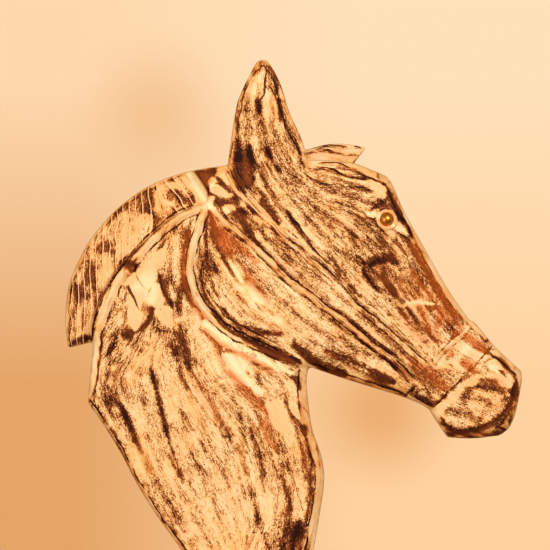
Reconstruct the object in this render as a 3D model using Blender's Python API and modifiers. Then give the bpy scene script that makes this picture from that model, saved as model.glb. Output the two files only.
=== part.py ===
"""A carved wooden horse head: a bust, cut flat below, with two domed brass studs for eyes.

Metres, +Z up. The horse looks along +X, and Y is the thickness of the block. Both flanks are
carved alike. The origin is the centre of the flat underside.

The head is a free form. Its outline, its thickness and its carving are shares of its own height:
they are written as millimetres on a head that is DESIGN_HEIGHT tall, seen from the flank as
pairs (x, z), and SHARE turns them into metres.
"""
import math

import bmesh
import bpy
import numpy as np

# Driving dimensions, in metres
HEIGHT = 0.422
NECK_BASE_THICKNESS = 0.092
EYE_STUD_DIAMETER = 0.011
EYE_STUD_DOME = 0.0032
EYE_STUD_RIM = 0.0014
FIT_GAP = 0.0003
MANE_FLUTES = 21
MANE_FLUTE_DEPTH = 0.0016
EAR_HOLLOW_DEPTH = 0.002

# How finely the free form is worked out, and how many triangles it keeps
FORM_CELL = 0.0024
CARVING_CELL = 0.0012
HEAD_TRIANGLES = 8600
STUD_STEPS = 28
SOFTENING_PASSES = 3
WELD_DISTANCE = 0.00001

# The carving is only on faces that look across Y, and within a few cells of the head's own flank
EDGE_ON = 0.3
FACE_ON = 0.7
FLANK_TOLERANCE = 2.5

# One millimetre of the design, in metres, along the flank and across the thickness
DESIGN_HEIGHT = 422.0
DESIGN_BASE_THICKNESS = 92.0
SHARE = HEIGHT / DESIGN_HEIGHT
ACROSS = NECK_BASE_THICKNESS / DESIGN_BASE_THICKNESS

# The outline of the head without its ears, in runs that meet at corners: the points, and the
# width and depth of the bevel carved along it. It starts a little below the flat underside.
BELOW = -8
RUNS = {
    "neck front": ([(-49, BELOW), (-57, 5), (-75, 30), (-92, 56), (-109, 88), (-122, 109), (-137, 131)], 4, 4),
    "nape": ([(-137, 131), (-134.5, 160), (-132, 182)], 6, 5),
    "mane end": ([(-132, 182), (-154, 176.5)], 2, 2),
    "mane": ([(-154, 176.5), (-156.5, 198), (-155, 221), (-151, 237.5), (-144, 253), (-135.5, 268.5),
              (-114, 293.5), (-86.5, 314), (-59.5, 325), (-37, 330)], 4, 3),
    "poll": ([(-37, 330), (-12, 333), (18, 336), (52, 336.5), (86, 335), (117, 323.5)], 7, 5),
    "nose": ([(117, 323.5), (122, 317), (133, 292.5), (151, 260), (170.5, 226), (188.5, 200)], 7, 7),
    "bridge": ([(188.5, 200), (191.5, 199.5), (201, 188.5), (208.5, 179.5)], 4, 3),
    "muzzle front": ([(208.5, 179.5), (216, 172), (233, 156.5)], 7, 6),
    "lips": ([(233, 156.5), (232.5, 146), (227, 119.5), (221.5, 108), (214, 102)], 8, 8),
    "muzzle below": ([(214, 102), (189.5, 99.5), (169.5, 100.5)], 7, 6),
    "chin": ([(169.5, 100.5), (159, 116), (154.5, 124)], 5, 4),
    "jaw": ([(154.5, 124), (146, 129), (131, 135), (112, 141), (78, 151.5), (51, 161)], 4, 3),
    "throat": ([(51, 161), (49.5, 149), (50.5, 134), (54.5, 107), (62, 85), (64.5, 66), (61, 37.5),
                (53, BELOW)], 8, 6),
    "below": ([(53, BELOW), (-49, BELOW)], 1, 0),
}

# Each ear is a leaf of its own, and runs down into the head: its outline, and along its length
# (z for the upright ear, x for the one turned forward) its middle across Y and its half thickness
NEAR_EAR = [[(-14, 313), (-17.5, 330), (-15.5, 349.5), (-10, 384), (-5, 397), (2, 411), (7, 420), (12, 422),
             (17, 420), (27, 402), (35, 377), (45.5, 354), (52, 330)],
            [(52, 330), (40, 309), (11.5, 299)], [(11.5, 299), (-14, 313)]]
NEAR_EAR_ALONG = [299, 330, 370, 422]
NEAR_EAR_MIDDLE = [-12, -20, -23, -27]
NEAR_EAR_HALF = [10, 13.5, 10, 5]
FAR_EAR = [[(100.5, 348), (86, 351), (68, 351), (52, 347), (35, 342), (23, 335)],
           [(23, 335), (21, 316)], [(21, 316), (44, 307), (70, 315), (88, 332), (100.5, 348)]]
FAR_EAR_ALONG = [20, 45, 100]
FAR_EAR_MIDDLE = [17, 21, 26]
FAR_EAR_HALF = [10, 11, 4]
EAR_RIM_WIDTH = 5
EAR_EDGE_BEVEL = 3
EAR_HOLLOW_START = 15
EAR_THINNEST = 1.5

# Half the thickness of the block at places on the flank: (x, z, half thickness)
STATIONS = [(-15, 320, 31), (-85, 215, 37), (-40, 130, 42), (0, 10, 46), (0, 60, 45), (52, 75, 40), (10, 225, 42),
            (-25, 255, 40), (78, 310, 33), (118, 286, 32), (60, 190, 37), (130, 217, 29), (100, 165, 29),
            (180, 192, 26), (165, 160, 27), (200, 130, 30)]
STATION_REACH = 38

# The mane is set down behind the crest of the neck, and thins towards its outer edge
MANE_EDGE = [(-137, 150), (-134, 186), (-132.5, 200), (-129, 212), (-116.5, 237.5), (-95, 262), (-71, 284),
             (-49.5, 296), (-35, 301), (-36, 310), (-42, 320), (-52, 333), (-60, 345)]
MANE_HALF_OUTER = 19
MANE_HALF_INNER = 30
MANE_WIDTH = 38
MANE_FRONT_X = -30
FLUTES_FROM = -154
FLUTES_TO = -44
FLUTES_LEAN_FROM = -90
FLUTE_LEAN = 0.7
FLUTE_LENGTH = 120
FLUTE_HALF_WIDTH = 1.9

# Forms that end at a line on the flank
MUZZLE_LINE = [(209, 180), (192, 162), (177, 146), (168, 137), (155, 124)]
MUZZLE_RISE = 2.4
JAW_FACET = [(38, 178.5), (54, 175), (69.5, 169), (86.5, 161), (104, 153.5), (122, 146), (140, 139)]
JAW_FACET_CUT = 6
JAW_FACET_WIDTH = 11
JAW_FACET_STARTS = (52, 62)
CHIN_X = 150
CHIN_Z = 120
STEP_FROM = -0.8
STEP_TO = 1.2

# Lines that are carved on the flanks
CREST = [(-36, 297), (-54, 291), (-71, 279), (-88, 263), (-100, 248), (-113, 229), (-122, 210), (-128, 190),
         (-135, 137)]
CHEEK_RIM = [(-36, 296), (-44.5, 273), (-48.5, 257), (-49, 242), (-46, 226), (-37, 210), (-15, 190), (20, 173),
             (46, 161)]
CHEEK_GROOVE = [(-37, 272), (-41, 256), (-42, 239), (-36, 217), (-25, 199), (-12, 189), (15, 177), (36, 169)]
CHEEK_BEAD = [(-39, 236), (-36, 224), (-27, 210), (-19, 201), (-6, 193), (10, 185), (26, 176)]
LOWER_LINE = [(-33, 297), (-14, 278), (5.5, 262), (33.5, 235), (72, 206), (108, 177), (128, 160), (140, 148)]
UPPER_LINE = [(-16.5, 331), (-10.5, 318), (-3, 306), (23.5, 279), (46.5, 260), (69.5, 240.5), (96.5, 212.5),
              (116, 196.5), (154, 162.5)]
BAND_LINE = [(190, 200), (182.5, 189.5), (172, 180), (163.5, 171.5), (156, 162)]
MUZZLE_RING = [(201, 163.5), (208.5, 169), (215.5, 165.5), (226, 154), (227, 139.5), (221, 126), (213, 117),
               (202.5, 110), (189.5, 105.5), (174, 103.5), (163.5, 109.5)]
CHIN_CREASE = [(133, 135), (142, 145)]
EYE_FOLD = [(96.5, 290), (108, 291), (117.5, 286), (127, 278), (136, 268)]

# What each line is: bead or groove, half its width, its height or depth, the length over which it
# fades at its ends, and how far to its left it runs
LINES = [
    (CREST, "bead", 5, 2.6, 14, 0),
    (CHEEK_RIM, "bead", 4, 3, 8, 0),
    (CHEEK_GROOVE, "groove", 3.4, 3.2, 14, 0),
    (CHEEK_BEAD, "bead", 2.2, 1.6, 12, 0),
    (LOWER_LINE, "bead", 3.2, 2.4, 10, 0),
    (LOWER_LINE, "groove", 2.4, 2.2, 10, 4.6),
    (UPPER_LINE, "groove", 2.2, 1.8, 12, 0),
    (UPPER_LINE, "bead", 2, 0.9, 12, 3.2),
    (UPPER_LINE, "bead", 2, 0.9, 12, -3.2),
    (BAND_LINE, "bead", 2.4, 1.4, 3, 0),
    (MUZZLE_RING, "groove", 3, 1.8, 8, 0),
    (CHIN_CREASE, "groove", 1.6, 1.6, 3, 0),
    (EYE_FOLD, "bead", 3.4, 1.5, 8, 0),
]

# The eye: a flat place on the flank, with a raised ring about the stud
EYE = (117.5, 286)
EYE_HALF = 33
EYE_FLAT_FADE = 1.8
EYE_RING_HEIGHT = 1.8
EYE_RING_HALF_WIDTH = 2.6


def smooth_line(points, spacing=3):
    """A Catmull-Rom curve through the points, as an array of points about spacing apart."""
    fixed = np.array(points, float)
    padded = np.vstack([2 * fixed[0] - fixed[1], fixed, 2 * fixed[-1] - fixed[-2]])
    pieces = []
    for before, start, end, after in zip(padded, padded[1:], padded[2:], padded[3:]):
        chord = np.linalg.norm(end - start)
        enter = (end - before) * chord / (np.linalg.norm(start - before) + chord)
        leave = (after - start) * chord / (np.linalg.norm(after - end) + chord)
        t = np.linspace(0, 1, max(2, round(chord / spacing)), endpoint=False)[:, None]
        pieces.append((2 * t**3 - 3 * t**2 + 1) * start + (t**3 - 2 * t**2 + t) * enter
                      + (3 * t**2 - 2 * t**3) * end + (t**3 - t**2) * leave)
    return np.vstack(pieces + [fixed[-1:]])


def closed_outline(runs):
    """The runs one after the other, as one closed row of points with no point twice."""
    return np.vstack([smooth_line(run)[:-1] for run in runs])


def smooth_step(value, low, high):
    """0 below low, 1 above high, and a soft S between them."""
    t = np.clip((value - low) / (high - low), 0, 1)
    return t * t * (3 - 2 * t)


def nearest_on(line, x, z):
    """For each point: its distance to the line, signed (+ on the left), and the length run along it."""
    distance = np.full(x.shape, np.inf)
    side = np.ones(x.shape)
    run = np.zeros(x.shape)
    length = 0
    for (ax, az), (bx, bz) in zip(line[:-1], line[1:]):
        dx, dz = bx - ax, bz - az
        step = math.hypot(dx, dz)
        t = np.clip(((x - ax) * dx + (z - az) * dz) / step**2, 0, 1)
        away = np.hypot(x - ax - t * dx, z - az - t * dz)
        closer = away < distance
        distance = np.where(closer, away, distance)
        side = np.where(closer, np.sign(dx * (z - az) - dz * (x - ax)), side)
        run = np.where(closer, length + t * step, run)
        length += step
    return distance * side, run, length


def carved_line(x, z, points, kind, half_width, height, fade, offset):
    """A round bead or a V groove along a line, or beside it at the offset, fading at its ends."""
    line = smooth_line(points)
    reach = half_width + abs(offset) + 1
    low, high = line.min(axis=0) - reach, line.max(axis=0) + reach
    near = (x > low[0]) & (x < high[0]) & (z > low[1]) & (z < high[1])
    distance, run, length = nearest_on(line, x[near], z[near])
    across = np.clip(np.abs(distance - offset) / half_width, 0, 1)
    ends = np.clip(np.minimum(run, length - run) / fade, 0, 1)
    profile = (1 - across**2)**2 if kind == "bead" else across - 1
    relief = np.zeros(x.shape)
    relief[near] = height * profile * ends
    return relief


def mane_flutes(x, z, in_mane):
    """The combing of the mane: cuts from its outer edge, upright below and leaning near the poll."""
    edge = smooth_line(RUNS["mane"][0])
    order = np.argsort(edge[:, 0])
    relief = np.zeros(x.shape)
    for start_x in np.linspace(FLUTES_FROM, FLUTES_TO, MANE_FLUTES):
        start_z = np.interp(start_x, edge[order, 0], edge[order, 1]) + FLUTE_HALF_WIDTH
        lean = FLUTE_LEAN * smooth_step(start_x, FLUTES_LEAN_FROM, FLUTES_TO)
        end = (start_x + lean * FLUTE_LENGTH, start_z - FLUTE_LENGTH)
        cut = carved_line(x, z, [(start_x, start_z), end], "groove", FLUTE_HALF_WIDTH,
                          MANE_FLUTE_DEPTH / SHARE, 1, 0)
        relief = np.minimum(relief, cut)
    return relief * in_mane


def eye_ring_middle():
    """The radius of the raised ring's middle: the ring stands close around the stud."""
    return EYE_STUD_DIAMETER / SHARE / 2 + EYE_RING_HALF_WIDTH


def mane_share(x, z):
    """1 on the mane, 0 in front of its edge."""
    distance, _, _ = nearest_on(smooth_line(MANE_EDGE), x, z)
    return smooth_step(distance, STEP_FROM, STEP_TO) * (x < MANE_FRONT_X)


def head_half_thickness(x, z):
    """Half the thickness with its large forms: the sunk mane, the muzzle, the jaw facet, the bevels."""
    weights = [np.exp(-((x - sx)**2 + (z - sz)**2) / (2 * STATION_REACH**2)) + 1e-9 for sx, sz, _ in STATIONS]
    half = sum(w * station[2] for w, station in zip(weights, STATIONS)) / sum(weights)
    from_outer_edge, _, _ = nearest_on(smooth_line(RUNS["mane"][0]), x, z)
    inward = np.clip(np.abs(from_outer_edge) / MANE_WIDTH, 0, 1)
    mane = MANE_HALF_OUTER + (MANE_HALF_INNER - MANE_HALF_OUTER) * inward
    half = half + (np.minimum(mane, half) - half) * mane_share(x, z)
    from_muzzle, _, _ = nearest_on(smooth_line(MUZZLE_LINE), x, z)
    half = half + MUZZLE_RISE * smooth_step(from_muzzle, STEP_FROM, STEP_TO) * (x > CHIN_X)
    from_facet, _, _ = nearest_on(smooth_line(JAW_FACET), x, z)
    on_jaw = smooth_step(x, *JAW_FACET_STARTS) * (x < CHIN_X) * (z > CHIN_Z)
    half = half - JAW_FACET_CUT * np.clip(-from_facet / JAW_FACET_WIDTH, 0, 1) * on_jaw
    for points, width, cut in RUNS.values():
        from_edge, _, _ = nearest_on(smooth_line(points), x, z)
        half = half - cut * np.clip(1 - np.abs(from_edge) / width, 0, 1)
    flat_radius = eye_ring_middle() + EYE_RING_HALF_WIDTH
    at_eye = 1 - smooth_step(np.hypot(x - EYE[0], z - EYE[1]), flat_radius, EYE_FLAT_FADE * flat_radius)
    return half + (EYE_HALF - half) * at_eye


def flank_relief(x, z):
    """How far the carving stands out of a flank (above 0) or is cut into it (below 0)."""
    relief = sum(carved_line(x, z, *line) for line in LINES) + mane_flutes(x, z, mane_share(x, z))
    from_eye = np.hypot(x - EYE[0], z - EYE[1])
    ring_middle = eye_ring_middle()
    across = np.clip(np.abs(from_eye - ring_middle) / EYE_RING_HALF_WIDTH, 0, 1)
    ring = EYE_RING_HEIGHT * (1 - across**2)**2
    return np.where(from_eye < ring_middle, ring, relief + np.maximum(ring - relief, 0) * (across < 1))


def as_mesh(shape):
    """A plain mesh object of the shape as its modifiers leave it, in its place. The shape goes."""
    depsgraph = bpy.context.evaluated_depsgraph_get()
    mesh = bpy.data.meshes.new_from_object(shape.evaluated_get(depsgraph))
    mesh.transform(shape.matrix_world)
    name = shape.name
    bpy.data.objects.remove(shape)
    closed = bmesh.new()
    closed.from_mesh(mesh)
    bmesh.ops.remove_doubles(closed, verts=closed.verts, dist=WELD_DISTANCE)
    bmesh.ops.recalc_face_normals(closed, faces=closed.faces)
    closed.to_mesh(mesh)
    closed.free()
    plain = bpy.data.objects.new(name, mesh)
    bpy.context.scene.collection.objects.link(plain)
    return plain


def remeshed(shape, cell):
    """The same shape in even faces of the cell's size; shapes that overlap become one body."""
    modifier = shape.modifiers.new("Even faces", "REMESH")
    modifier.mode = "VOXEL"
    modifier.voxel_size = cell
    softened = shape.modifiers.new("Softened", "SMOOTH")
    softened.factor = 0.5
    softened.iterations = SOFTENING_PASSES
    return as_mesh(shape)


def sawn_board(name, outline):
    """A board sawn to the outline, in even faces, with y running from -1 to 1 across it."""
    curve = bpy.data.curves.new(name, "CURVE")
    curve.dimensions = "2D"
    curve.fill_mode = "BOTH"
    curve.extrude = 4 * FORM_CELL
    spline = curve.splines.new("POLY")
    spline.points.add(len(outline) - 1)
    points = np.zeros((len(outline), 4))
    points[:, :2] = outline * SHARE
    spline.points.foreach_set("co", points.ravel())
    spline.use_cyclic_u = True
    board = bpy.data.objects.new(name, curve)
    board.rotation_euler.x = math.pi / 2
    bpy.context.scene.collection.objects.link(board)
    bpy.context.view_layer.update()
    board = remeshed(as_mesh(board), FORM_CELL)
    places = read_places(board)
    places[:, 1] /= np.abs(places[:, 1]).max()
    return board, places


def read_places(shape):
    """The places of a mesh's points, one row each."""
    places = np.zeros(len(shape.data.vertices) * 3)
    shape.data.vertices.foreach_get("co", places)
    return places.reshape(-1, 3)


def write_places(shape, places):
    """Moves a mesh's points to their new places."""
    shape.data.vertices.foreach_set("co", places.ravel())
    shape.data.update()


def head_board():
    """The head without its ears, at its true thickness."""
    board, places = sawn_board("head form", closed_outline([run[0] for run in RUNS.values()]))
    x, z = places[:, 0] / SHARE, places[:, 2] / SHARE
    places[:, 1] *= head_half_thickness(x, z) * ACROSS
    write_places(board, places)
    return board


def ear_board(name, runs, along_z, along, middle, half, hollow_side):
    """An ear: a leaf that tapers to its tip, with a rim left about the hollow in its outer face."""
    board, places = sawn_board(name, closed_outline(runs))
    x, z = places[:, 0] / SHARE, places[:, 2] / SHARE
    way = z if along_z else x
    rim = runs[0]
    from_rim, _, _ = nearest_on(smooth_line(rim), x, z)
    from_rim = np.abs(from_rim)
    thickness = np.interp(way, along, half) - EAR_EDGE_BEVEL * np.clip(1 - from_rim / EAR_RIM_WIDTH, 0, 1)**2
    in_leaf = smooth_step(way, along[1] - EAR_HOLLOW_START, along[1] + EAR_HOLLOW_START)
    hollow = EAR_HOLLOW_DEPTH / SHARE * smooth_step(from_rim, EAR_RIM_WIDTH, 1.6 * EAR_RIM_WIDTH) * in_leaf
    outer = places[:, 1] * hollow_side > 0
    thickness = thickness - np.where(outer, hollow, 0)
    places[:, 1] = (np.interp(way, along, middle) + places[:, 1] * np.maximum(thickness, EAR_THINNEST)) * ACROSS
    write_places(board, places)
    return board


def joined(name, shapes):
    """The shapes as one mesh object, still overlapping."""
    together = bmesh.new()
    for shape in shapes:
        together.from_mesh(shape.data)
        bpy.data.objects.remove(shape)
    mesh = bpy.data.meshes.new(name)
    together.to_mesh(mesh)
    together.free()
    whole = bpy.data.objects.new(name, mesh)
    bpy.context.scene.collection.objects.link(whole)
    return whole


def carve_flanks(head):
    """Cuts the lines, ridges and flutes into both flanks, and leaves sawn edges and ears as they are."""
    places = read_places(head)
    facing = np.zeros(len(places) * 3)
    head.data.vertices.foreach_get("normal", facing)
    facing = facing.reshape(-1, 3)[:, 1]
    x, z = places[:, 0] / SHARE, places[:, 2] / SHARE
    flank = head_half_thickness(x, z) * ACROSS
    on_flank = np.abs(np.abs(places[:, 1]) - flank) < FLANK_TOLERANCE * CARVING_CELL
    outward = smooth_step(facing * np.sign(places[:, 1]), EDGE_ON, FACE_ON)
    places[:, 1] += np.sign(places[:, 1]) * flank_relief(x, z) * ACROSS * outward * on_flank
    write_places(head, places)


def cutter_box(name, low, high):
    """A box between two corners, for cutting."""
    bpy.ops.mesh.primitive_cube_add(size=1)
    box = bpy.context.object
    box.name = name
    box.dimensions = [b - a for a, b in zip(low, high)]
    box.location = [(a + b) / 2 for a, b in zip(low, high)]
    return box


def socket_cutter(side):
    """The drill that makes the round socket for one eye stud, on the flank of that side."""
    depth = EYE_STUD_RIM + FIT_GAP
    reach = EYE_RING_HEIGHT * ACROSS + EYE_STUD_DOME
    bpy.ops.mesh.primitive_cylinder_add(vertices=STUD_STEPS, radius=EYE_STUD_DIAMETER / 2 + FIT_GAP,
                                        depth=depth + reach)
    drill = bpy.context.object
    drill.rotation_euler.x = math.pi / 2
    middle = EYE_HALF * ACROSS + (reach - depth) / 2
    drill.location = (EYE[0] * SHARE, side * middle, EYE[1] * SHARE)
    return drill


def cut(target, cutter, cutters):
    """Takes the cutter's shape out of the target, and keeps the cutter as a guide."""
    modifier = target.modifiers.new("Cut " + cutter.name, "BOOLEAN")
    modifier.operation = "DIFFERENCE"
    modifier.object = cutter
    for owner in list(cutter.users_collection):
        owner.objects.unlink(cutter)
    cutters.objects.link(cutter)
    cutter.hide_render = True
    cutter.display_type = "WIRE"


def eye_stud(name, side):
    """A domed upholstery stud: a short straight rim in the socket, and a low round dome."""
    radius = EYE_STUD_DIAMETER / 2
    ball = (radius**2 + EYE_STUD_DOME**2) / (2 * EYE_STUD_DOME)
    widest = math.asin(radius / ball)
    angles = [widest * i / 7 for i in range(8)]
    profile = [(ball * math.sin(a), EYE_STUD_DOME - ball * (1 - math.cos(a))) for a in angles]
    profile += [(radius, -EYE_STUD_RIM), (0, -EYE_STUD_RIM)]
    mesh = bpy.data.meshes.new(name)
    mesh.from_pydata([(r, 0, height) for r, height in profile],
                     [(i, i + 1) for i in range(len(profile) - 1)], [])
    stud = bpy.data.objects.new(name, mesh)
    turning = stud.modifiers.new("Turned", "SCREW")
    turning.axis = "Z"
    turning.steps = STUD_STEPS
    turning.render_steps = STUD_STEPS
    turning.use_merge_vertices = True
    turning.merge_threshold = 0.00005
    stud.location = (EYE[0] * SHARE, side * EYE_HALF * ACROSS, EYE[1] * SHARE)
    stud.rotation_euler.x = -side * math.pi / 2
    return stud


def material(name, color, roughness, metallic):
    """A plain Principled material."""
    made = bpy.data.materials.new(name)
    made.use_nodes = True
    shader = made.node_tree.nodes["Principled BSDF"]
    shader.inputs["Base Color"].default_value = (*color, 1)
    shader.inputs["Roughness"].default_value = roughness
    shader.inputs["Metallic"].default_value = metallic
    return made


def main():
    for old in list(bpy.data.objects):
        bpy.data.objects.remove(old)
    parts = bpy.data.collections.new("Wooden horse head")
    cutters = bpy.data.collections.new("Cutters")
    for collection in (parts, cutters):
        bpy.context.scene.collection.children.link(collection)
    painted_wood = material("limewashed wood", (0.72, 0.55, 0.33), 0.62, 0)
    brass = material("polished brass", (0.62, 0.40, 0.10), 0.28, 1)

    near_ear = ear_board("near ear", NEAR_EAR, True, NEAR_EAR_ALONG, NEAR_EAR_MIDDLE, NEAR_EAR_HALF, -1)
    far_ear = ear_board("far ear", FAR_EAR, False, FAR_EAR_ALONG, FAR_EAR_MIDDLE, FAR_EAR_HALF, 1)
    head = remeshed(joined("horse_head", [head_board(), near_ear, far_ear]), CARVING_CELL)
    carve_flanks(head)
    fewer = head.modifiers.new("Fewer faces", "DECIMATE")
    fewer.ratio = HEAD_TRIANGLES / (2 * len(head.data.polygons))
    width, depth = 400 * SHARE, 2 * NECK_BASE_THICKNESS
    cut(head, cutter_box("level cut", (-width, -depth, 3 * BELOW * SHARE), (width, depth, 0)), cutters)
    for side in (-1, 1):
        cut(head, socket_cutter(side), cutters)
    head = as_mesh(head)
    head.data.materials.append(painted_wood)

    studs = [eye_stud("eye_stud_right", -1), eye_stud("eye_stud_left", 1)]
    for stud in studs:
        stud.data.materials.append(brass)
    for piece in [head] + studs:
        for owner in list(piece.users_collection):
            owner.objects.unlink(piece)
        parts.objects.link(piece)
    for stud in studs:
        stud.parent = head
    bpy.context.view_layer.update()


main()
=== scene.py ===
# %% [markdown]
# A carved wooden horse head, as a lesson in cells.
#
# The real object is one block of wood, sawn to the profile of a horse's head and neck and carved
# on both flanks. It is painted dark brown first and then brushed nearly dry with cream, so the
# cream sits on the ridges and the brown stays in the cuts. The eyes are two brass studs.
#
# The imported model gives the frame: its size, its origin and its bodies. This script makes the
# looks round it. We load it first, and keep its box, which is printed at the end.

# %% The frame
import math

import bpy
import numpy as np
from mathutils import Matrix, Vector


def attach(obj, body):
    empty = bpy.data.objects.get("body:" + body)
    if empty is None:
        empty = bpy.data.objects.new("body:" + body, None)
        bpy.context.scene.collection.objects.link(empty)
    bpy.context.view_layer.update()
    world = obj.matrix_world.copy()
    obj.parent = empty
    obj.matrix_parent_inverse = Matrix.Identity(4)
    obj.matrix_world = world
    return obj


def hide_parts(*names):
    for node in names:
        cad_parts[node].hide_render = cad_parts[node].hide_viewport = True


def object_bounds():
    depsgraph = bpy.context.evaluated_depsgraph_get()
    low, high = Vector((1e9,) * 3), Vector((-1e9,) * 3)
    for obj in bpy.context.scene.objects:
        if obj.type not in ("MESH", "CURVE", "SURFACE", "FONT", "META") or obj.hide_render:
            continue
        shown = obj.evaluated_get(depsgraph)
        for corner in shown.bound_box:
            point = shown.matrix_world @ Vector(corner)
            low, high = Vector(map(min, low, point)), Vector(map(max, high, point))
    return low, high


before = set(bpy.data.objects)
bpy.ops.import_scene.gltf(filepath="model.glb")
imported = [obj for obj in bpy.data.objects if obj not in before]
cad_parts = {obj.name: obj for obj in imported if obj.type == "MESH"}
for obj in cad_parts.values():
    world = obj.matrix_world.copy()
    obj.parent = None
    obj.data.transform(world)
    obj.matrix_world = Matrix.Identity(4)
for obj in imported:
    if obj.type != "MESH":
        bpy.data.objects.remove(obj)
MODEL_LOW, MODEL_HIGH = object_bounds()
MM = 0.001
print("frame:", sorted(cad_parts), "from", tuple(MODEL_LOW), "to", tuple(MODEL_HIGH))

# %% [markdown]
# The camera comes first, because the photograph gives most of the shape. It looks along +Y at
# the right flank, level and from far away, so almost without perspective. A pixel is 0.85 mm on
# the flank, and one function turns pixels (column, row) into millimetres (x, z) on the horse.

# %% The camera and the photograph's pixels
PIXEL = 0.85
PHOTO_SIZE = 550
ORIGIN_PIXEL = (248.5, 556.0)
FLANK_DEPTH = 0.031
CAMERA_DISTANCE = 6.0


def from_pixels(points):
    """Pixels, in pairs or as columns and rows in turn, as (x, z) in mm from the part's origin."""
    pixels = np.array(points, float).reshape(-1, 2)
    return (pixels - ORIGIN_PIXEL) * (PIXEL, -PIXEL)


def make_camera():
    """A level camera whose frame is as wide as the photograph, measured at the near flank."""
    middle_x, middle_z = from_pixels([PHOTO_SIZE / 2, PHOTO_SIZE / 2])[0] * MM
    data = bpy.data.cameras.new("camera")
    data.sensor_width = 36.0
    data.lens = data.sensor_width * CAMERA_DISTANCE / (PHOTO_SIZE * PIXEL * MM)
    camera = bpy.data.objects.new("camera", data)
    camera.location = (middle_x, -FLANK_DEPTH - CAMERA_DISTANCE, middle_z)
    camera.rotation_euler = (math.pi / 2, 0, 0)
    bpy.context.scene.collection.objects.link(camera)
    bpy.context.scene.camera = camera
    print(f"camera: {data.lens:.0f} mm lens at {CAMERA_DISTANCE} m")


make_camera()

# %% [markdown]
# A flank is a function of two parameters, x and z. So its thickness, its carving and its paint
# are maps on one grid over the profile, read at each point of the mesh. That is quick, because
# numpy treats the grid as one array. A carved line is worked out in a window of the grid.

# %% The grid and the line tools
GRID_STEP = 0.6
GRID_LOW = (-164.0, -12.0)
GRID_HIGH = (240.0, 430.0)
grid_x = np.arange(GRID_LOW[0], GRID_HIGH[0], GRID_STEP)
grid_z = np.arange(GRID_LOW[1], GRID_HIGH[1], GRID_STEP)
map_x, map_z = np.meshgrid(grid_x, grid_z, indexing="ij")
print("grid:", map_x.shape)


def smooth_step(value, low, high):
    """0 below low, 1 above high, and the S curve 3t^2 - 2t^3 between them."""
    t = np.clip((value - low) / (high - low), 0, 1)
    return t * t * (3 - 2 * t)


def smooth_line(points, spacing=2.0):
    """A Catmull-Rom curve through the points, as an array of points about spacing apart."""
    fixed = np.array(points, float)
    padded = np.vstack([2 * fixed[0] - fixed[1], fixed, 2 * fixed[-1] - fixed[-2]])
    pieces = []
    for before, start, end, after in zip(padded, padded[1:], padded[2:], padded[3:]):
        chord = np.linalg.norm(end - start)
        enter = (end - before) * chord / (np.linalg.norm(start - before) + chord)
        leave = (after - start) * chord / (np.linalg.norm(after - end) + chord)
        t = np.linspace(0, 1, max(2, round(chord / spacing)), endpoint=False)[:, None]
        pieces.append((2 * t**3 - 3 * t**2 + 1) * start + (t**3 - 2 * t**2 + t) * enter
                      + (3 * t**2 - 2 * t**3) * end + (t**3 - t**2) * leave)
    return np.vstack(pieces + [fixed[-1:]])


def photo_line(pixels):
    """The smooth line through places given as photograph pixels."""
    return smooth_line(from_pixels(pixels))


def window(line, reach):
    """The part of the grid within reach of a line, as two slices."""
    low = (line.min(axis=0) - reach - GRID_LOW) / GRID_STEP
    high = (line.max(axis=0) + reach - GRID_LOW) / GRID_STEP
    low = np.clip(np.floor(low).astype(int), 0, None)
    high = np.clip(np.ceil(high).astype(int) + 1, 1, map_x.shape)
    return slice(low[0], high[0]), slice(low[1], high[1])


def nearest_on(line, x, z):
    """Signed distance to a line (+ on its left), the length run along it, and its whole length."""
    distance = np.full(x.shape, np.inf)
    side = np.ones(x.shape)
    run = np.zeros(x.shape)
    length = 0.0
    for (ax, az), (bx, bz) in zip(line[:-1], line[1:]):
        dx, dz = bx - ax, bz - az
        step = math.hypot(dx, dz)
        t = np.clip(((x - ax) * dx + (z - az) * dz) / step**2, 0, 1)
        away = np.hypot(x - ax - t * dx, z - az - t * dz)
        closer = away < distance
        distance = np.where(closer, away, distance)
        side = np.where(closer, np.sign(dx * (z - az) - dz * (x - ax)), side)
        run = np.where(closer, length + t * step, run)
        length += step
    return distance * side, run, length


def near(line, reach):
    """The part of the grid within reach of a line, then what nearest_on gives there."""
    area = window(line, reach)
    return area, *nearest_on(line, map_x[area], map_z[area])


def read_map(values, x, z):
    """A map read at any places: each place blends the four cells around it."""
    column = np.clip((x - GRID_LOW[0]) / GRID_STEP, 0, map_x.shape[0] - 1.001)
    row = np.clip((z - GRID_LOW[1]) / GRID_STEP, 0, map_x.shape[1] - 1.001)
    i, j = column.astype(int), row.astype(int)
    s, t = column - i, row - j
    return ((values[i, j] * (1 - s) + values[i + 1, j] * s) * (1 - t)
            + (values[i, j + 1] * (1 - s) + values[i + 1, j + 1] * s) * t)


# %% [markdown]
# The profile was sawn first: a closed line of smooth runs that meet at corners. Along each run
# the carver took off the edge with a bevel. Each run below is given in millimetres, with the width
# of its bevel and how deep it cuts. The lower edge lies a little under the ground, where a level
# cut is made at the end.

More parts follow.
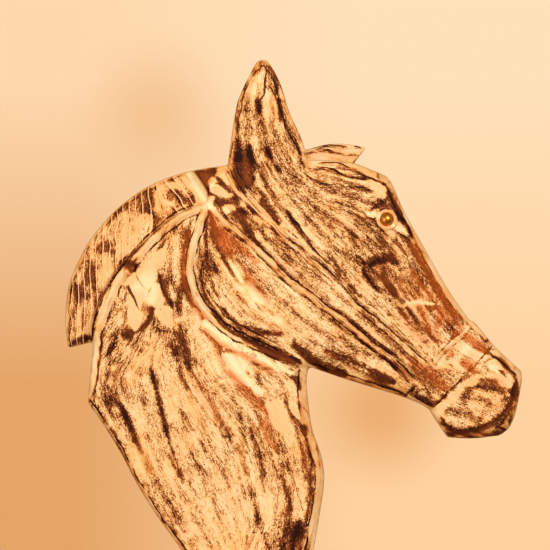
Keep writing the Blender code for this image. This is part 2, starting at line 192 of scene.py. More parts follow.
# %% The profile of the block
BELOW = -8
RUNS = {
    "neck front": ([(-49, BELOW), (-57, 5), (-75, 30), (-92, 56), (-109, 88), (-122, 109),
                    (-137, 131)], 4, 4),
    "nape": ([(-137, 131), (-134.5, 160), (-132, 182)], 6, 5),
    "mane end": ([(-132, 182), (-154, 176.5)], 2, 2),
    "mane": ([(-154, 176.5), (-156.5, 198), (-155, 221), (-151, 237.5), (-144, 253), (-135.5, 268.5),
              (-114, 293.5), (-86.5, 314), (-59.5, 325), (-37, 330)], 4, 3),
    "poll": ([(-37, 330), (-12, 333), (18, 336), (52, 336.5), (86, 335), (117, 323.5)], 7, 5),
    "nose": ([(117, 323.5), (122, 317), (133, 292.5), (151, 260), (170.5, 226), (188.5, 200)], 7, 7),
    "bridge": ([(188.5, 200), (191.5, 199.5), (201, 188.5), (208.5, 179.5)], 4, 3),
    "muzzle front": ([(208.5, 179.5), (216, 172), (233, 156.5)], 7, 6),
    "lips": ([(233, 156.5), (232.5, 146), (227, 119.5), (221.5, 108), (214, 102)], 8, 8),
    "muzzle below": ([(214, 102), (189.5, 99.5), (169.5, 100.5)], 7, 6),
    "chin": ([(169.5, 100.5), (159, 116), (154.5, 124)], 5, 4),
    "jaw": ([(154.5, 124), (146, 129), (131, 135), (112, 141), (78, 151.5), (51, 161)], 4, 3),
    "throat": ([(51, 161), (49.5, 149), (50.5, 134), (54.5, 107), (62, 85), (64.5, 66), (61, 37.5),
                (53, BELOW)], 8, 6),
    "below": ([(53, BELOW), (-49, BELOW)], 1, 0),
}
NEAR_EAR = [[(-14, 313), (-17.5, 330), (-15.5, 349.5), (-10, 384), (-5, 397), (2, 411), (7, 420),
             (12, 422), (17, 420), (27, 402), (35, 377), (45.5, 354), (52, 330)],
            [(52, 330), (40, 309), (11.5, 299)], [(11.5, 299), (-14, 313)]]
FAR_EAR = [[(100.5, 348), (86, 351), (68, 351), (52, 347), (35, 342), (23, 335)],
           [(23, 335), (21, 316)], [(21, 316), (44, 307), (70, 315), (88, 332), (100.5, 348)]]


def closed_outline(runs):
    """The runs as one closed row of points, with no point twice."""
    return np.vstack([smooth_line(run)[:-1] for run in runs])


profile = closed_outline([run[0] for run in RUNS.values()])
print("profile:", len(profile), "points")

# %% [markdown]
# The thickness is a map too. A few stations say how thick the block is, and each place blends the
# stations near it. Then come the large forms: the mane is set down behind the crest of the neck,
# the muzzle stands a little proud of the bridge, the underside of the jaw is cut away as a facet,
# and the bevels take off the edges.

# %% The thickness map
STATIONS = [(-15, 320, 31), (-85, 215, 37), (-40, 130, 42), (0, 10, 46), (0, 60, 45), (52, 75, 40),
            (10, 225, 42), (-25, 255, 40), (78, 310, 33), (118, 286, 32), (60, 190, 37), (130, 217, 29),
            (100, 165, 29), (180, 192, 26), (165, 160, 27), (200, 130, 30)]
STATION_REACH = 38
MANE_EDGE = [(-137, 150), (-134, 186), (-132.5, 200), (-129, 212), (-116.5, 237.5), (-95, 262),
             (-71, 284), (-49.5, 296), (-35, 301), (-36, 310), (-42, 320), (-52, 333), (-60, 345)]
MANE_BOX = ((-164, 150), (-30, 350))
MANE_HALF_OUTER = 19
MANE_HALF_INNER = 30
MANE_WIDTH = 38
MUZZLE_LINE = [(209, 180), (192, 162), (177, 146), (168, 137), (155, 124)]
MUZZLE_BOX = ((150, 90), (240, 200))
MUZZLE_RISE = 2.4
JAW_FACET = [(38, 178.5), (54, 175), (69.5, 169), (86.5, 161), (104, 153.5), (122, 146), (140, 139)]
JAW_FACET_CUT = 6
JAW_FACET_WIDTH = 11
JAW_FACET_STARTS = (52, 62)
JAW_FACET_END = 150
JAW_FACET_LOWEST = 120
EYE = (117.5, 286)
EYE_HALF = 33
EYE_STUD_RADIUS = 5.5
EYE_RING_HALF_WIDTH = 1.8
EYE_RING_MIDDLE = EYE_STUD_RADIUS + EYE_RING_HALF_WIDTH
EYE_RING_RIM = EYE_STUD_RADIUS + 2 * EYE_RING_HALF_WIDTH
EYE_FLAT_REACH = 1.8 * EYE_RING_RIM


def thickness_map():
    """Half the thickness over the grid: stations blended by a bell curve, then the large forms."""
    weights = [np.exp(-((map_x - x)**2 + (map_z - z)**2) / (2 * STATION_REACH**2)) + 1e-9
               for x, z, _ in STATIONS]
    half = sum(w * station[2] for w, station in zip(weights, STATIONS)) / sum(weights)
    inward = np.ones(map_x.shape)
    area, from_edge, _, _ = near(smooth_line(RUNS["mane"][0]), MANE_WIDTH + 2)
    inward[area] = np.clip(np.abs(from_edge) / MANE_WIDTH, 0, 1)
    mane = MANE_HALF_OUTER + (MANE_HALF_INNER - MANE_HALF_OUTER) * inward
    half = half + (np.minimum(mane, half) - half) * map_mane
    half = half + MUZZLE_RISE * map_muzzle
    area, from_facet, _, _ = near(smooth_line(JAW_FACET), 2 * JAW_FACET_WIDTH)
    on_jaw = (smooth_step(map_x[area], *JAW_FACET_STARTS) * (map_x[area] < JAW_FACET_END)
              * (map_z[area] > JAW_FACET_LOWEST))
    half[area] -= JAW_FACET_CUT * np.clip(-from_facet / JAW_FACET_WIDTH, 0, 1) * on_jaw
    for points, width, cut in RUNS.values():
        area, from_edge, _, _ = near(smooth_line(points), width + 1)
        half[area] -= cut * np.clip(1 - np.abs(from_edge) / width, 0, 1)
    at_eye = 1 - smooth_step(np.hypot(map_x - EYE[0], map_z - EYE[1]), EYE_RING_RIM, EYE_FLAT_REACH)
    return half + (EYE_HALF - half) * at_eye


def left_of(points, box_low, box_high, soften=1.0):
    """1 on the left of a line, 0 on its right, within a box, with a soft edge."""
    line = smooth_line(points)
    in_box = (map_x > box_low[0]) & (map_x < box_high[0]) & (map_z > box_low[1]) & (map_z < box_high[1])
    columns = slice(*np.searchsorted(grid_x, [box_low[0], box_high[0]]))
    rows = slice(*np.searchsorted(grid_z, [box_low[1], box_high[1]]))
    share = np.zeros(map_x.shape)
    distance, _, _ = nearest_on(line, map_x[columns, rows], map_z[columns, rows])
    share[columns, rows] = smooth_step(distance, -soften, soften)
    return share * in_box


map_mane = left_of(MANE_EDGE, *MANE_BOX)
map_muzzle = left_of(MUZZLE_LINE, *MUZZLE_BOX)
map_half = thickness_map()
print(f"thickness: {2 * map_half.min():.0f} to {2 * map_half.max():.0f} mm")

# %% [markdown]
# Now the block itself. Blender fills a flat curve and gives it a thickness, and a voxel remesh
# turns that plain board into small even faces. Moving each point across to the thickness that
# the map gives at its place makes the carved form. The ears are leaves of their own: each is
# made in the same way, and one more remesh makes head and ears a single skin, as in the block.

# %% The form: head and ears in one skin
FORM_CELL = 1.5 * MM
SKIN_CELL = 1.2 * MM
HEAD_TRIANGLES = 190000
SOFTENING_PASSES = 2
NEAR_EAR_ALONG = [299, 330, 370, 422]
NEAR_EAR_MIDDLE = [-12, -20, -23, -27]
NEAR_EAR_HALF = [10, 13.5, 10, 5]
FAR_EAR_ALONG = [20, 45, 100]
FAR_EAR_MIDDLE = [17, 21, 26]
FAR_EAR_HALF = [10, 11, 4]
EAR_RIM_WIDTH = 5
EAR_EDGE_BEVEL = 3
EAR_HOLLOW = 2
EAR_HOLLOW_START = 15
EAR_THINNEST = 1.5


def evaluated_mesh(shape):
    """The shape's mesh as its modifiers leave it. The shape itself is removed."""
    bpy.context.view_layer.update()
    mesh = bpy.data.meshes.new_from_object(shape.evaluated_get(bpy.context.evaluated_depsgraph_get()))
    mesh.transform(shape.matrix_world)
    bpy.data.objects.remove(shape)
    return mesh


def as_object(name, mesh):
    """A mesh as an object in the scene, at the origin."""
    made = bpy.data.objects.new(name, mesh)
    bpy.context.scene.collection.objects.link(made)
    return made


def remeshed(shape, cell):
    """Even faces over a closed shape, a little softened. Overlaps become one body."""
    modifier = shape.modifiers.new("even faces", "REMESH")
    modifier.mode = "VOXEL"
    modifier.voxel_size = cell
    softened = shape.modifiers.new("softened", "SMOOTH")
    softened.factor = 0.5
    softened.iterations = SOFTENING_PASSES
    return as_object(shape.name, evaluated_mesh(shape))


def read_places(mesh):
    """The places of a mesh's points in metres, one row each."""
    places = np.zeros(len(mesh.vertices) * 3, np.float32)
    mesh.vertices.foreach_get("co", places)
    return places.reshape(-1, 3).astype(float)


def write_places(mesh, places):
    """Moves a mesh's points to new places."""
    mesh.vertices.foreach_set("co", places.astype(np.float32).ravel())
    mesh.update()


def sawn_board(name, outline):
    """A board sawn to the outline, in even faces. Also its points' x and z in mm, and y from -1 to 1."""
    curve = bpy.data.curves.new(name, "CURVE")
    curve.dimensions = "2D"
    curve.fill_mode = "BOTH"
    curve.extrude = 5 * FORM_CELL
    spline = curve.splines.new("POLY")
    spline.points.add(len(outline) - 1)
    points = np.zeros((len(outline), 4))
    points[:, :2] = outline * MM
    spline.points.foreach_set("co", points.ravel())
    spline.use_cyclic_u = True
    flat = bpy.data.objects.new(name, curve)
    flat.rotation_euler.x = math.pi / 2
    bpy.context.scene.collection.objects.link(flat)
    board = as_object(name, evaluated_mesh(flat))
    weld = board.modifiers.new("weld", "WELD")
    weld.merge_threshold = 0.00001
    board = remeshed(board, FORM_CELL)
    places = read_places(board.data)
    return board, places[:, 0] / MM, places[:, 1] / np.abs(places[:, 1]).max(), places[:, 2] / MM


def head_board():
    """The head without its ears: y is the thickness map times the place across the board."""
    board, x, across, z = sawn_board("head form", profile)
    write_places(board.data, np.stack([x, across * read_map(map_half, x, z), z], axis=1) * MM)
    return board


def ear_board(name, runs, way_of, along, middle, half, outer_side):
    """An ear: a leaf whose middle and thickness change along it, with a rim about a shallow hollow."""
    board, x, across, z = sawn_board(name, closed_outline(runs))
    way = way_of(x, z)
    from_rim = np.abs(nearest_on(smooth_line(runs[0]), x, z)[0])
    bevel = EAR_EDGE_BEVEL * np.clip(1 - from_rim / EAR_RIM_WIDTH, 0, 1)**2
    thickness = np.interp(way, along, half) - bevel
    in_leaf = smooth_step(way, along[1] - EAR_HOLLOW_START, along[1] + EAR_HOLLOW_START)
    hollow = EAR_HOLLOW * smooth_step(from_rim, EAR_RIM_WIDTH, 1.6 * EAR_RIM_WIDTH) * in_leaf
    thickness = np.maximum(thickness - np.where(across * outer_side > 0, hollow, 0), EAR_THINNEST)
    y = np.interp(way, along, middle) + across * thickness
    write_places(board.data, np.stack([x, y, z], axis=1) * MM)
    return board


def joined(name, shapes):
    """Several mesh objects as one, still overlapping."""
    places, faces, sizes, count = [], [], [], 0
    for shape in shapes:
        mesh = shape.data
        places.append(read_places(mesh))
        corners = np.zeros(len(mesh.loops), np.int32)
        mesh.loops.foreach_get("vertex_index", corners)
        face_sizes = np.zeros(len(mesh.polygons), np.int32)
        mesh.polygons.foreach_get("loop_total", face_sizes)
        faces.append(corners + count)
        sizes.append(face_sizes)
        count += len(mesh.vertices)
        bpy.data.objects.remove(shape)
    places, faces, sizes = np.vstack(places), np.concatenate(faces), np.concatenate(sizes)
    whole = bpy.data.meshes.new(name)
    whole.vertices.add(count)
    whole.vertices.foreach_set("co", places.astype(np.float32).ravel())
    whole.loops.add(len(faces))
    whole.loops.foreach_set("vertex_index", faces)
    whole.polygons.add(len(sizes))
    whole.polygons.foreach_set("loop_start", np.concatenate([[0], np.cumsum(sizes)[:-1]]).astype(np.int32))
    whole.update(calc_edges=True)
    return as_object(name, whole)


near_ear = ear_board("near ear", NEAR_EAR, lambda x, z: z, NEAR_EAR_ALONG, NEAR_EAR_MIDDLE,
                     NEAR_EAR_HALF, -1)
far_ear = ear_board("far ear", FAR_EAR, lambda x, z: x, FAR_EAR_ALONG, FAR_EAR_MIDDLE, FAR_EAR_HALF, 1)
head = remeshed(joined("carved_head", [head_board(), near_ear, far_ear]), SKIN_CELL)
print("form:", len(head.data.vertices), "points")

# %% [markdown]
# Strokes follow the form: down the neck, along the cheek and down the nose. A map of directions
# holds that flow. Each entry is a place in the photograph and the angle of the strokes there, and
# every cell blends the entries near it, by their doubled sine and cosine, because a stroke has no
# front and back. The mane has entries of its own, which reach less far.
#
# With the flow known, a speckled noise can be combed along it: each cell takes the mean of the
# noise on the short path that follows the flow through it. The result looks like brush hair.

# %% The flow of the strokes, and noise combed along it
FLOW = [
    (110, 330, 62), (115, 350, 58), (96, 400, -70), (125, 430, -62), (160, 500, -60), (140, 250, 45),
    (112, 295, 64), (133, 295, -67), (142, 325, 52), (165, 290, -71), (190, 290, -72), (200, 230, 76),
    (180, 250, 84), (180, 305, -84), (183, 350, -76), (160, 400, -74), (170, 450, -74), (200, 400, -60),
    (225, 440, -56), (205, 450, -60), (200, 520, -62), (258, 465, -76), (280, 480, -72), (262, 368, -32),
    (218, 355, -64), (250, 395, -46),
    (272, 440, -72), (309, 455, -84), (304, 500, -102), (285, 530, -105), (296, 415, -52), (290, 385, -60),
    (225, 235, -52), (215, 260, -70), (245, 290, -48), (290, 320, -40), (340, 350, -34), (380, 370, -30),
    (270, 240, -46), (300, 265, -42), (350, 310, -41), (400, 350, -41), (270, 215, -55), (300, 235, -52),
    (340, 250, -44), (380, 300, -46), (300, 190, -50), (340, 190, -12), (330, 170, -16), (370, 183, -14),
    (390, 205, -62), (375, 250, -40), (400, 270, -60), (430, 290, -56), (430, 330, -58), (450, 310, -56),
    (410, 330, -44), (460, 345, -38), (440, 375, -40), (480, 375, -12), (470, 410, -20), (505, 385, -75),
    (260, 120, -80), (240, 130, 84), (290, 130, -66), (262, 80, -84), (265, 165, -60), (330, 155, -8),
    (320, 368, -24), (370, 385, -20), (215, 185, -50),
]
MANE_FLOW = [(70, 330, -84), (80, 270, -88), (110, 235, -90), (150, 205, -90), (180, 185, -64),
             (200, 185, -52)]
MANE_FLOW_REACH = 13.0
FLOW_REACH = MANE_FLOW_REACH / 0.85
FINE_HAIR = (1.0, 9)
BROAD_HAIR = (2.8, 26)


def flow_map(entries, reach):
    """The stroke angle over the grid, in radians, blended from entries by a bell curve."""
    double_sine = np.zeros(map_x.shape)
    double_cosine = np.zeros(map_x.shape)
    for column, row, angle in entries:
        x, z = from_pixels([column, row])[0]
        squared = (map_x - x)**2 + (map_z - z)**2
        weight = np.exp(-squared / (2 * reach**2)) + 1e-3 / (1 + squared / reach**2)**2
        double_sine += weight * math.sin(2 * math.radians(angle))
        double_cosine += weight * math.cos(2 * math.radians(angle))
    return 0.5 * np.arctan2(double_sine, double_cosine)


def speckle(cell, seed):
    """Noise over the grid, in blobs about cell millimetres wide."""
    rng = np.random.default_rng(seed)
    columns = int((GRID_HIGH[0] - GRID_LOW[0]) / cell) + 3
    rows = int((GRID_HIGH[1] - GRID_LOW[1]) / cell) + 3
    values = rng.normal(size=(columns, rows))
    u = (map_x - GRID_LOW[0]) / cell
    v = (map_z - GRID_LOW[1]) / cell
    i, j = u.astype(int), v.astype(int)
    s, t = u - i, v - j
    s, t = s * s * (3 - 2 * s), t * t * (3 - 2 * t)
    return ((values[i, j] * (1 - s) + values[i + 1, j] * s) * (1 - t)
            + (values[i, j + 1] * (1 - s) + values[i + 1, j + 1] * s) * t)


def combed(noise, reach):
    """The mean of the noise along the flow, reach millimetres each way, with unit spread."""
    step = 1.5 * GRID_STEP
    total = noise.copy()
    for way in (-1, 1):
        column = np.broadcast_to(np.arange(map_x.shape[0])[:, None], map_x.shape).astype(float)
        row = np.broadcast_to(np.arange(map_x.shape[1])[None, :], map_x.shape).astype(float)
        heading_x, heading_z = way * np.cos(map_flow), way * np.sin(map_flow)
        for _ in range(int(reach / step)):
            column = np.clip(column + heading_x * step / GRID_STEP, 0, map_x.shape[0] - 1)
            row = np.clip(row + heading_z * step / GRID_STEP, 0, map_x.shape[1] - 1)
            i, j = np.rint(column).astype(int), np.rint(row).astype(int)
            total += noise[i, j]
            turn = np.cos(map_flow[i, j]) * heading_x + np.sin(map_flow[i, j]) * heading_z
            sign = np.where(turn < 0, -1, 1)
            heading_x, heading_z = sign * np.cos(map_flow[i, j]), sign * np.sin(map_flow[i, j])
    total -= total.mean()
    return total / total.std()


map_flow = np.where(map_mane > 0.5, flow_map(MANE_FLOW, MANE_FLOW_REACH), flow_map(FLOW, FLOW_REACH))
hair_fine, hair_broad, hair_fine_left, hair_broad_left = (
    combed(speckle(cell, seed), reach)
    for (cell, reach), seed in ((FINE_HAIR, 1), (BROAD_HAIR, 2), (FINE_HAIR, 3), (BROAD_HAIR, 4)))
print("combed noise:", hair_fine.max().round(2), hair_broad.max().round(2), "at most, spread 1")

# %% [markdown]
# The carver's lines come next, all made by one function. A bead is a rounded ridge and a groove
# is a V. Each row below gives the line, its kind, half its width, its height, the length over
# which its ends fade, and how far it runs beside the line that it is named for.

# %% The carved lines
CREST = [(-36, 297), (-54, 291), (-71, 279), (-88, 263), (-100, 248), (-113, 229), (-122, 210), (-128, 190),
         (-135, 137)]
CHEEK_RIM = [(-36, 296), (-44.5, 273), (-48.5, 257), (-49, 242), (-46, 226), (-37, 210), (-15, 190),
             (20, 173), (46, 161)]
CHEEK_GROOVE = [(-37, 272), (-41, 256), (-42, 239), (-36, 217), (-25, 199), (-12, 189), (15, 177), (36, 169)]
CHEEK_BEAD = [(-39, 236), (-36, 224), (-27, 210), (-19, 201), (-6, 193), (10, 185), (26, 176)]
LOWER_LINE = [(-33, 297), (-14, 278), (5.5, 262), (33.5, 235), (72, 206), (108, 177), (128, 160),
              (140, 148)]
UPPER_LINE = [(-16.5, 331), (-10.5, 318), (-3, 306), (23.5, 279), (46.5, 260), (69.5, 240.5), (96.5, 212.5),
              (116, 196.5), (154, 162.5)]
BAND_LINE = [(190, 200), (182.5, 189.5), (172, 180), (163.5, 171.5), (156, 162)]
MUZZLE_RING = [(201, 163.5), (208.5, 169), (215.5, 165.5), (226, 154), (227, 139.5), (221, 126), (213, 117),
               (202.5, 110), (189.5, 105.5), (174, 103.5), (163.5, 109.5)]
CHIN_CREASE = [(133, 135), (142, 145)]
EYE_FOLD = [(96.5, 290), (108, 291), (117.5, 286), (127, 278), (136, 268)]
NECK_CRACK = [(-105, 238), (-98, 222), (-91, 207)]
CARVED_LINES = [
    (CREST, "bead", 5, 2.6, 14, 0),
    (CHEEK_RIM, "bead", 4, 3, 8, 0),
    (CHEEK_GROOVE, "groove", 3.4, 3.2, 14, 0),
    (CHEEK_BEAD, "bead", 2.2, 1.6, 12, 0),
    (LOWER_LINE, "bead", 3.2, 2.4, 10, 0),
    (LOWER_LINE, "groove", 2.4, 2.2, 10, 4.6),
    (UPPER_LINE, "groove", 2.2, 1.8, 12, 0),
    (UPPER_LINE, "bead", 2, 0.9, 12, 3.2),
    (UPPER_LINE, "bead", 2, 0.9, 12, -3.2),
    (BAND_LINE, "bead", 2.4, 1.4, 3, 0),
    (MUZZLE_RING, "groove", 3, 1.8, 8, 0),
    (CHIN_CREASE, "groove", 1.6, 1.6, 3, 0),
    (EYE_FOLD, "bead", 3.4, 1.5, 8, 0),
    (NECK_CRACK, "groove", 1.0, 0.8, 6, 0),
]
MANE_FLUTES = 21
MANE_FLUTE_DEPTH = 0.9
FLUTES_FROM = -154
FLUTES_TO = -44
FLUTES_LEAN_FROM = -90
FLUTE_LEAN = 0.7
FLUTE_LENGTH = 155
FLUTE_HALF_WIDTH = 1.3
EYE_RING_HEIGHT = 1.8


def add_line(relief, points, kind, half_width, height, fade, offset):
    """Adds to the relief a round bead or a V groove along a line, or beside it at the offset."""
    area, distance, run, length = near(smooth_line(points), half_width + abs(offset) + 1)
    across = np.clip(np.abs(distance - offset) / half_width, 0, 1)
    ends = np.clip(np.minimum(run, length - run) / fade, 0, 1)
    profile_height = (1 - across**2)**2 if kind == "bead" else across - 1
    relief[area] += height * profile_height * ends


def mane_flutes():
    """V cuts that comb the mane, upright below and leaning near the poll."""
    edge = smooth_line(RUNS["mane"][0])
    order = np.argsort(edge[:, 0])
    flutes = np.zeros(map_x.shape)
    for start_x in np.linspace(FLUTES_FROM, FLUTES_TO, MANE_FLUTES):
        start_z = np.interp(start_x, edge[order, 0], edge[order, 1]) + FLUTE_HALF_WIDTH
        lean = FLUTE_LEAN * smooth_step(start_x, FLUTES_LEAN_FROM, FLUTES_TO)
        line = np.array([(start_x, start_z), (start_x + lean * FLUTE_LENGTH, start_z - FLUTE_LENGTH)])
        area, distance, _, _ = near(line, FLUTE_HALF_WIDTH + 1)
        cut = np.clip(np.abs(distance) / FLUTE_HALF_WIDTH, 0, 1) - 1
        flutes[area] = np.minimum(flutes[area], MANE_FLUTE_DEPTH * cut)
    return flutes * map_mane


map_lines = np.zeros(map_x.shape)
for carved_line in CARVED_LINES:
    add_line(map_lines, *carved_line)
map_flutes = mane_flutes()
from_eye = np.hypot(map_x - EYE[0], map_z - EYE[1])
ring_share = np.abs(from_eye - EYE_RING_MIDDLE) / EYE_RING_HALF_WIDTH
ring = EYE_RING_HEIGHT * (1 - np.clip(ring_share, 0, 1)**2)**2
outside_ring = from_eye > EYE_RING_RIM
map_lines = np.where(outside_ring, map_lines, ring)
print(f"carved lines: {map_lines.min():.1f} to {map_lines.max():.1f} mm")

# %% [markdown]
# Brown paint stays in the seam on each side of a bead and in fine cracks along its top. The
# bevelled strip along an edge is rubbed smooth, and ends in a seam too. The sharpest marks are
# thin dark lines, nearly black, where paint ran into a cut; one circle round the stud is painted
# shade in the gap between stud and wood. For those we keep the signed distance to the nearest
# line, not a darkness, so they stay thin however coarse the mesh is.
#
# INK_LINES follow a carved line or an edge, at an offset, with a strength. The rows of INK_PIXELS
# follow lines seen in the photograph: columns and rows of pixels in turn, and last the strength.
# The strokes and zones further down are written in the same way.

# %% Seams, cracks, strips and thin dark lines
INK_LINES = [
    (CREST, -4.6, 0.7), (CREST, 4.8, 0.45), (CHEEK_RIM, 3.8, 0.8), (CHEEK_RIM, -3.6, 0.7),
    (CHEEK_BEAD, 2.2, 0.6), (LOWER_LINE, 3.2, 0.55), (LOWER_LINE, -3.0, 0.6), (LOWER_LINE, -0.6, 0.35),
    (UPPER_LINE, 0, 0.55), (UPPER_LINE, 5.0, 0.3), (UPPER_LINE, -5.0, 0.3), (BAND_LINE, 2.2, 0.3),
    (BAND_LINE, -2.2, 0.25), (MUZZLE_LINE, 0, 0.6), (CHIN_CREASE, 0, 0.8), (RUNS["nose"][0], -5.4, 0.5),
    (RUNS["throat"][0], -7.6, 0.7), (RUNS["neck front"][0], -3.4, 0.8), (RUNS["jaw"][0], -3.6, 0.6),
    (RUNS["muzzle front"][0], -6.4, 0.5), (RUNS["mane"][0], -2.6, 0.4), (NECK_CRACK, 0, 0.8),
]
# Two dark circles round the eye: a thin dark line at the outer foot of the ring, and painted shade in the
# gap between the stud and the wood.
EYE_RING_INK_AND_STUD_SHADE = [(-0.4, 0.55), (2 * EYE_RING_HALF_WIDTH - 0.3, 0.5)]
INK_PIXELS = [
    (230, 160, 234, 130, 237, 104, 246, 79, 257, 64, 0.5),
    (235, 144, 238, 120, 241.5, 102, 248, 84, 254, 74, 259, 66, 0.6),
    (269, 72, 275, 86, 280, 108, 287, 130, 295, 145, 307, 164, 0.6),
    (265, 63, 274, 77, 281, 98, 290, 122, 302, 146, 0.45),
    (268, 61, 278, 80, 286, 101, 296, 125, 307, 147, 0.5), (352, 171, 375, 180, 390, 188, 0.5),
    (309, 148, 322, 146, 340, 144.5, 358, 146, 366, 148, 0.9), (366, 147, 359, 157, 351, 164, 0.8),
    (312, 163, 326, 162, 338, 163.5, 350, 168, 0.8), (321, 150, 334, 150.5, 0.9),
    (340, 152, 345, 154, 348, 161, 0.8), (379, 211.5, 374, 211.5, 0.9),
    (400, 215, 406, 223, 410, 230, 412, 238, 411, 241, 0.9), (396, 230, 401, 234, 408, 238, 411, 241, 0.8),
    (447, 438.5, 477, 438.5, 502, 436, 0.8), (355, 187, 367, 188.5, 377, 192, 0.8),
    (125, 279, 130, 292, 141, 311, 0.8), (155, 282, 149, 292, 147, 300, 0.5),
    (366, 217, 372, 219, 377, 224, 0.8), (415, 386, 410, 391, 404, 398, 1),
    (388, 394, 396, 397, 406, 399, 0.5), (267, 72, 264, 86, 263, 96, 256, 103, 0.7),
    (265, 84, 270, 88, 273, 96, 0.6), (311, 164, 330, 168, 352, 178, 368, 180, 0.8),
    (300, 170, 318, 182, 345, 186, 0.5), (287, 212, 300, 228, 312, 246, 325, 262, 0.7),
    (303, 237, 318, 254, 340, 275, 0.5), (228, 184, 236, 196, 246, 206, 0.4),
    (215, 178, 208, 190, 206, 200, 0.7), (133, 262, 137, 276, 146, 290, 0.6),
    (158, 272, 163, 290, 170, 300, 0.5), (116, 296, 112, 312, 104, 330, 0.5),
    (148, 322, 152, 332, 150, 342, 0.5), (300, 400, 306, 430, 310, 462, 0.4),
    (292, 470, 300, 500, 306, 525, 0.4),
]
INK_REACH = 3.0
INK_FADE = 5.0
NO_INK = 9.0
SEAM_HALF_WIDTH = 0.9
SEAM_SIDES = (-1, 1)
CRACK_HALF_WIDTH = 0.9
CRACK_SIDES = (-0.45, 0.25)
STRIP_BORDER = (1.4, 0.4)
WOBBLE = 0.6
WOBBLE_SIZE = 8
FAR_RIM_WIDTH = 3
RING_BORDER = 0.9


def beside_beads(sides, mark_half_width):
    """Thin marks along every bead but the fold at the eye, at shares of the bead's half width."""
    marks = np.zeros(map_x.shape)
    for points, kind, half_width, _, fade, offset in CARVED_LINES:
        if kind == "bead" and points is not EYE_FOLD:
            for side in sides:
                add_line(marks, points, "bead", mark_half_width, 1.0, fade, offset + side * half_width)
    return marks


def inside(outline):
    """1 inside a closed outline, 0 outside: it counts the sides above each place."""
    crossings = np.zeros(map_x.shape, int)
    for (ax, az), (bx, bz) in zip(outline, np.roll(outline, -1, axis=0)):
        between = (grid_x >= min(ax, bx)) & (grid_x < max(ax, bx))
        if between.any():
            height = az + (grid_x[between] - ax) * (bz - az) / (bx - ax)
            crossings[between] += height[:, None] > grid_z[None, :]
    return crossings % 2


def add_strip(points, width, where):
    """Marks the bevelled strip along an edge, and the seam along the strip's inner border."""
    area, distance, _, _ = near(smooth_line(points), width + 3)
    distance = np.abs(distance)
    seam = np.exp(-((distance - width) / SEAM_HALF_WIDTH)**2)
    strip = 1 - smooth_step(distance, width - STRIP_BORDER[0], width - STRIP_BORDER[1])
    map_seams[area] = np.maximum(map_seams[area], seam * where[area])
    map_strips[area] = np.maximum(map_strips[area], strip * where[area])


def add_ink(line, offset, strength):
    """Keeps the signed distance to the nearest dark line, and how strongly it is drawn."""
    area, distance, run, length = near(line, abs(offset) + INK_REACH)
    distance -= offset
    ends = np.clip(np.minimum(run, length - run) / INK_FADE, 0, 1)
    drawn = strength * ends * (1 - smooth_step(np.abs(distance), 0.6 * INK_REACH, INK_REACH))
    closer = np.abs(distance) < np.abs(map_ink[area])
    map_ink[area] = np.where(closer, distance, map_ink[area])
    map_inked[area] = np.where(closer, drawn, map_inked[area])


map_seams = beside_beads(SEAM_SIDES, SEAM_HALF_WIDTH)
add_line(map_seams, MUZZLE_LINE, "bead", SEAM_HALF_WIDTH, 1.0, 2, -1.0)
map_cracks = beside_beads(CRACK_SIDES, CRACK_HALF_WIDTH) * smooth_step(speckle(6, 13), -0.3, 0.6)
map_strips = np.zeros(map_x.shape)
map_near_ear = inside(closed_outline(NEAR_EAR))
for points, width, _ in RUNS.values():
    add_strip(points, width, 1 - map_near_ear)
add_strip(NEAR_EAR[0], EAR_RIM_WIDTH, map_near_ear)
add_strip(FAR_EAR[0], FAR_RIM_WIDTH, 1 - map_near_ear)
map_ink = np.full(map_x.shape, NO_INK)
map_inked = np.zeros(map_x.shape)
for points, offset, strength in INK_LINES:
    add_ink(smooth_line(points), offset, strength)
for *pixels, strength in INK_PIXELS:
    add_ink(photo_line(pixels), 0, strength)
turns = np.linspace(0, 2 * math.pi, 60)
eye_circle = EYE + EYE_RING_RIM * np.stack([np.cos(turns), np.sin(turns)], axis=1)
# The second eye circle, just outside the stud, is painted shade in the gap round the stud.
for offset, strength in EYE_RING_INK_AND_STUD_SHADE:
    add_ink(eye_circle, offset, strength)
print("thin dark lines:", len(INK_LINES) + len(INK_PIXELS) + len(EYE_RING_INK_AND_STUD_SHADE))

# %% [markdown]
# No hand draws a line quite straight. Before the maps are used, each is read at places moved by a
# slow noise, mostly by less than a millimetre, so lines, seams and strips wander together. Only
# the ring round the eye is left true, because the stud in its middle is.

# %% The wobble of the hand
wobble_x, wobble_z = (WOBBLE * speckle(WOBBLE_SIZE, seed) * outside_ring for seed in (11, 12))
map_lines, map_seams, map_strips, map_cracks, map_ink, map_inked = (
    read_map(values, map_x + wobble_x, map_z + wobble_z)
    for values in (map_lines, map_seams, map_strips, map_cracks, map_ink, map_inked))
map_inked *= smooth_step(speckle(6, 14), -1.1, 0.0)
on_ring = 1 - smooth_step(from_eye, EYE_RING_RIM - RING_BORDER, EYE_RING_RIM)
map_relief = map_lines + map_flutes
print(f"relief: {map_relief.min():.1f} to {map_relief.max():.1f} mm")

# %% [markdown]
# The relief moves the points of both flanks outwards or inwards, and leaves the sawn edges and the
# ears alone. The combed noise adds the furrows of the gouge and the stiff brush, a few tenths of
# a millimetre deep. Then the mesh is thinned to stay light, most of all where the photograph
# doesn't look, the underside is cut level, and a shallow socket is drilled for each stud.

# %% Carving the skin
EDGE_ON = 0.3
KEEP_FACTOR = 100.0
FACE_ON = 0.7
FLANK_TOLERANCE = 2.5
FINE_GRAIN = 0.6
BROAD_GRAIN = 1.4
GRAIN_DEPTH = 0.16
FIT_GAP = 0.3
EYE_STUD_RIM = 1.4
DRILL_LENGTH = 10
SLAB = 0.1


def point_normals(mesh):
    """The direction that each point faces, one row each."""
    normals = np.zeros(len(mesh.vertices) * 3, np.float32)
    mesh.vertex_normals.foreach_get("vector", normals)
    return normals.reshape(-1, 3).astype(float)


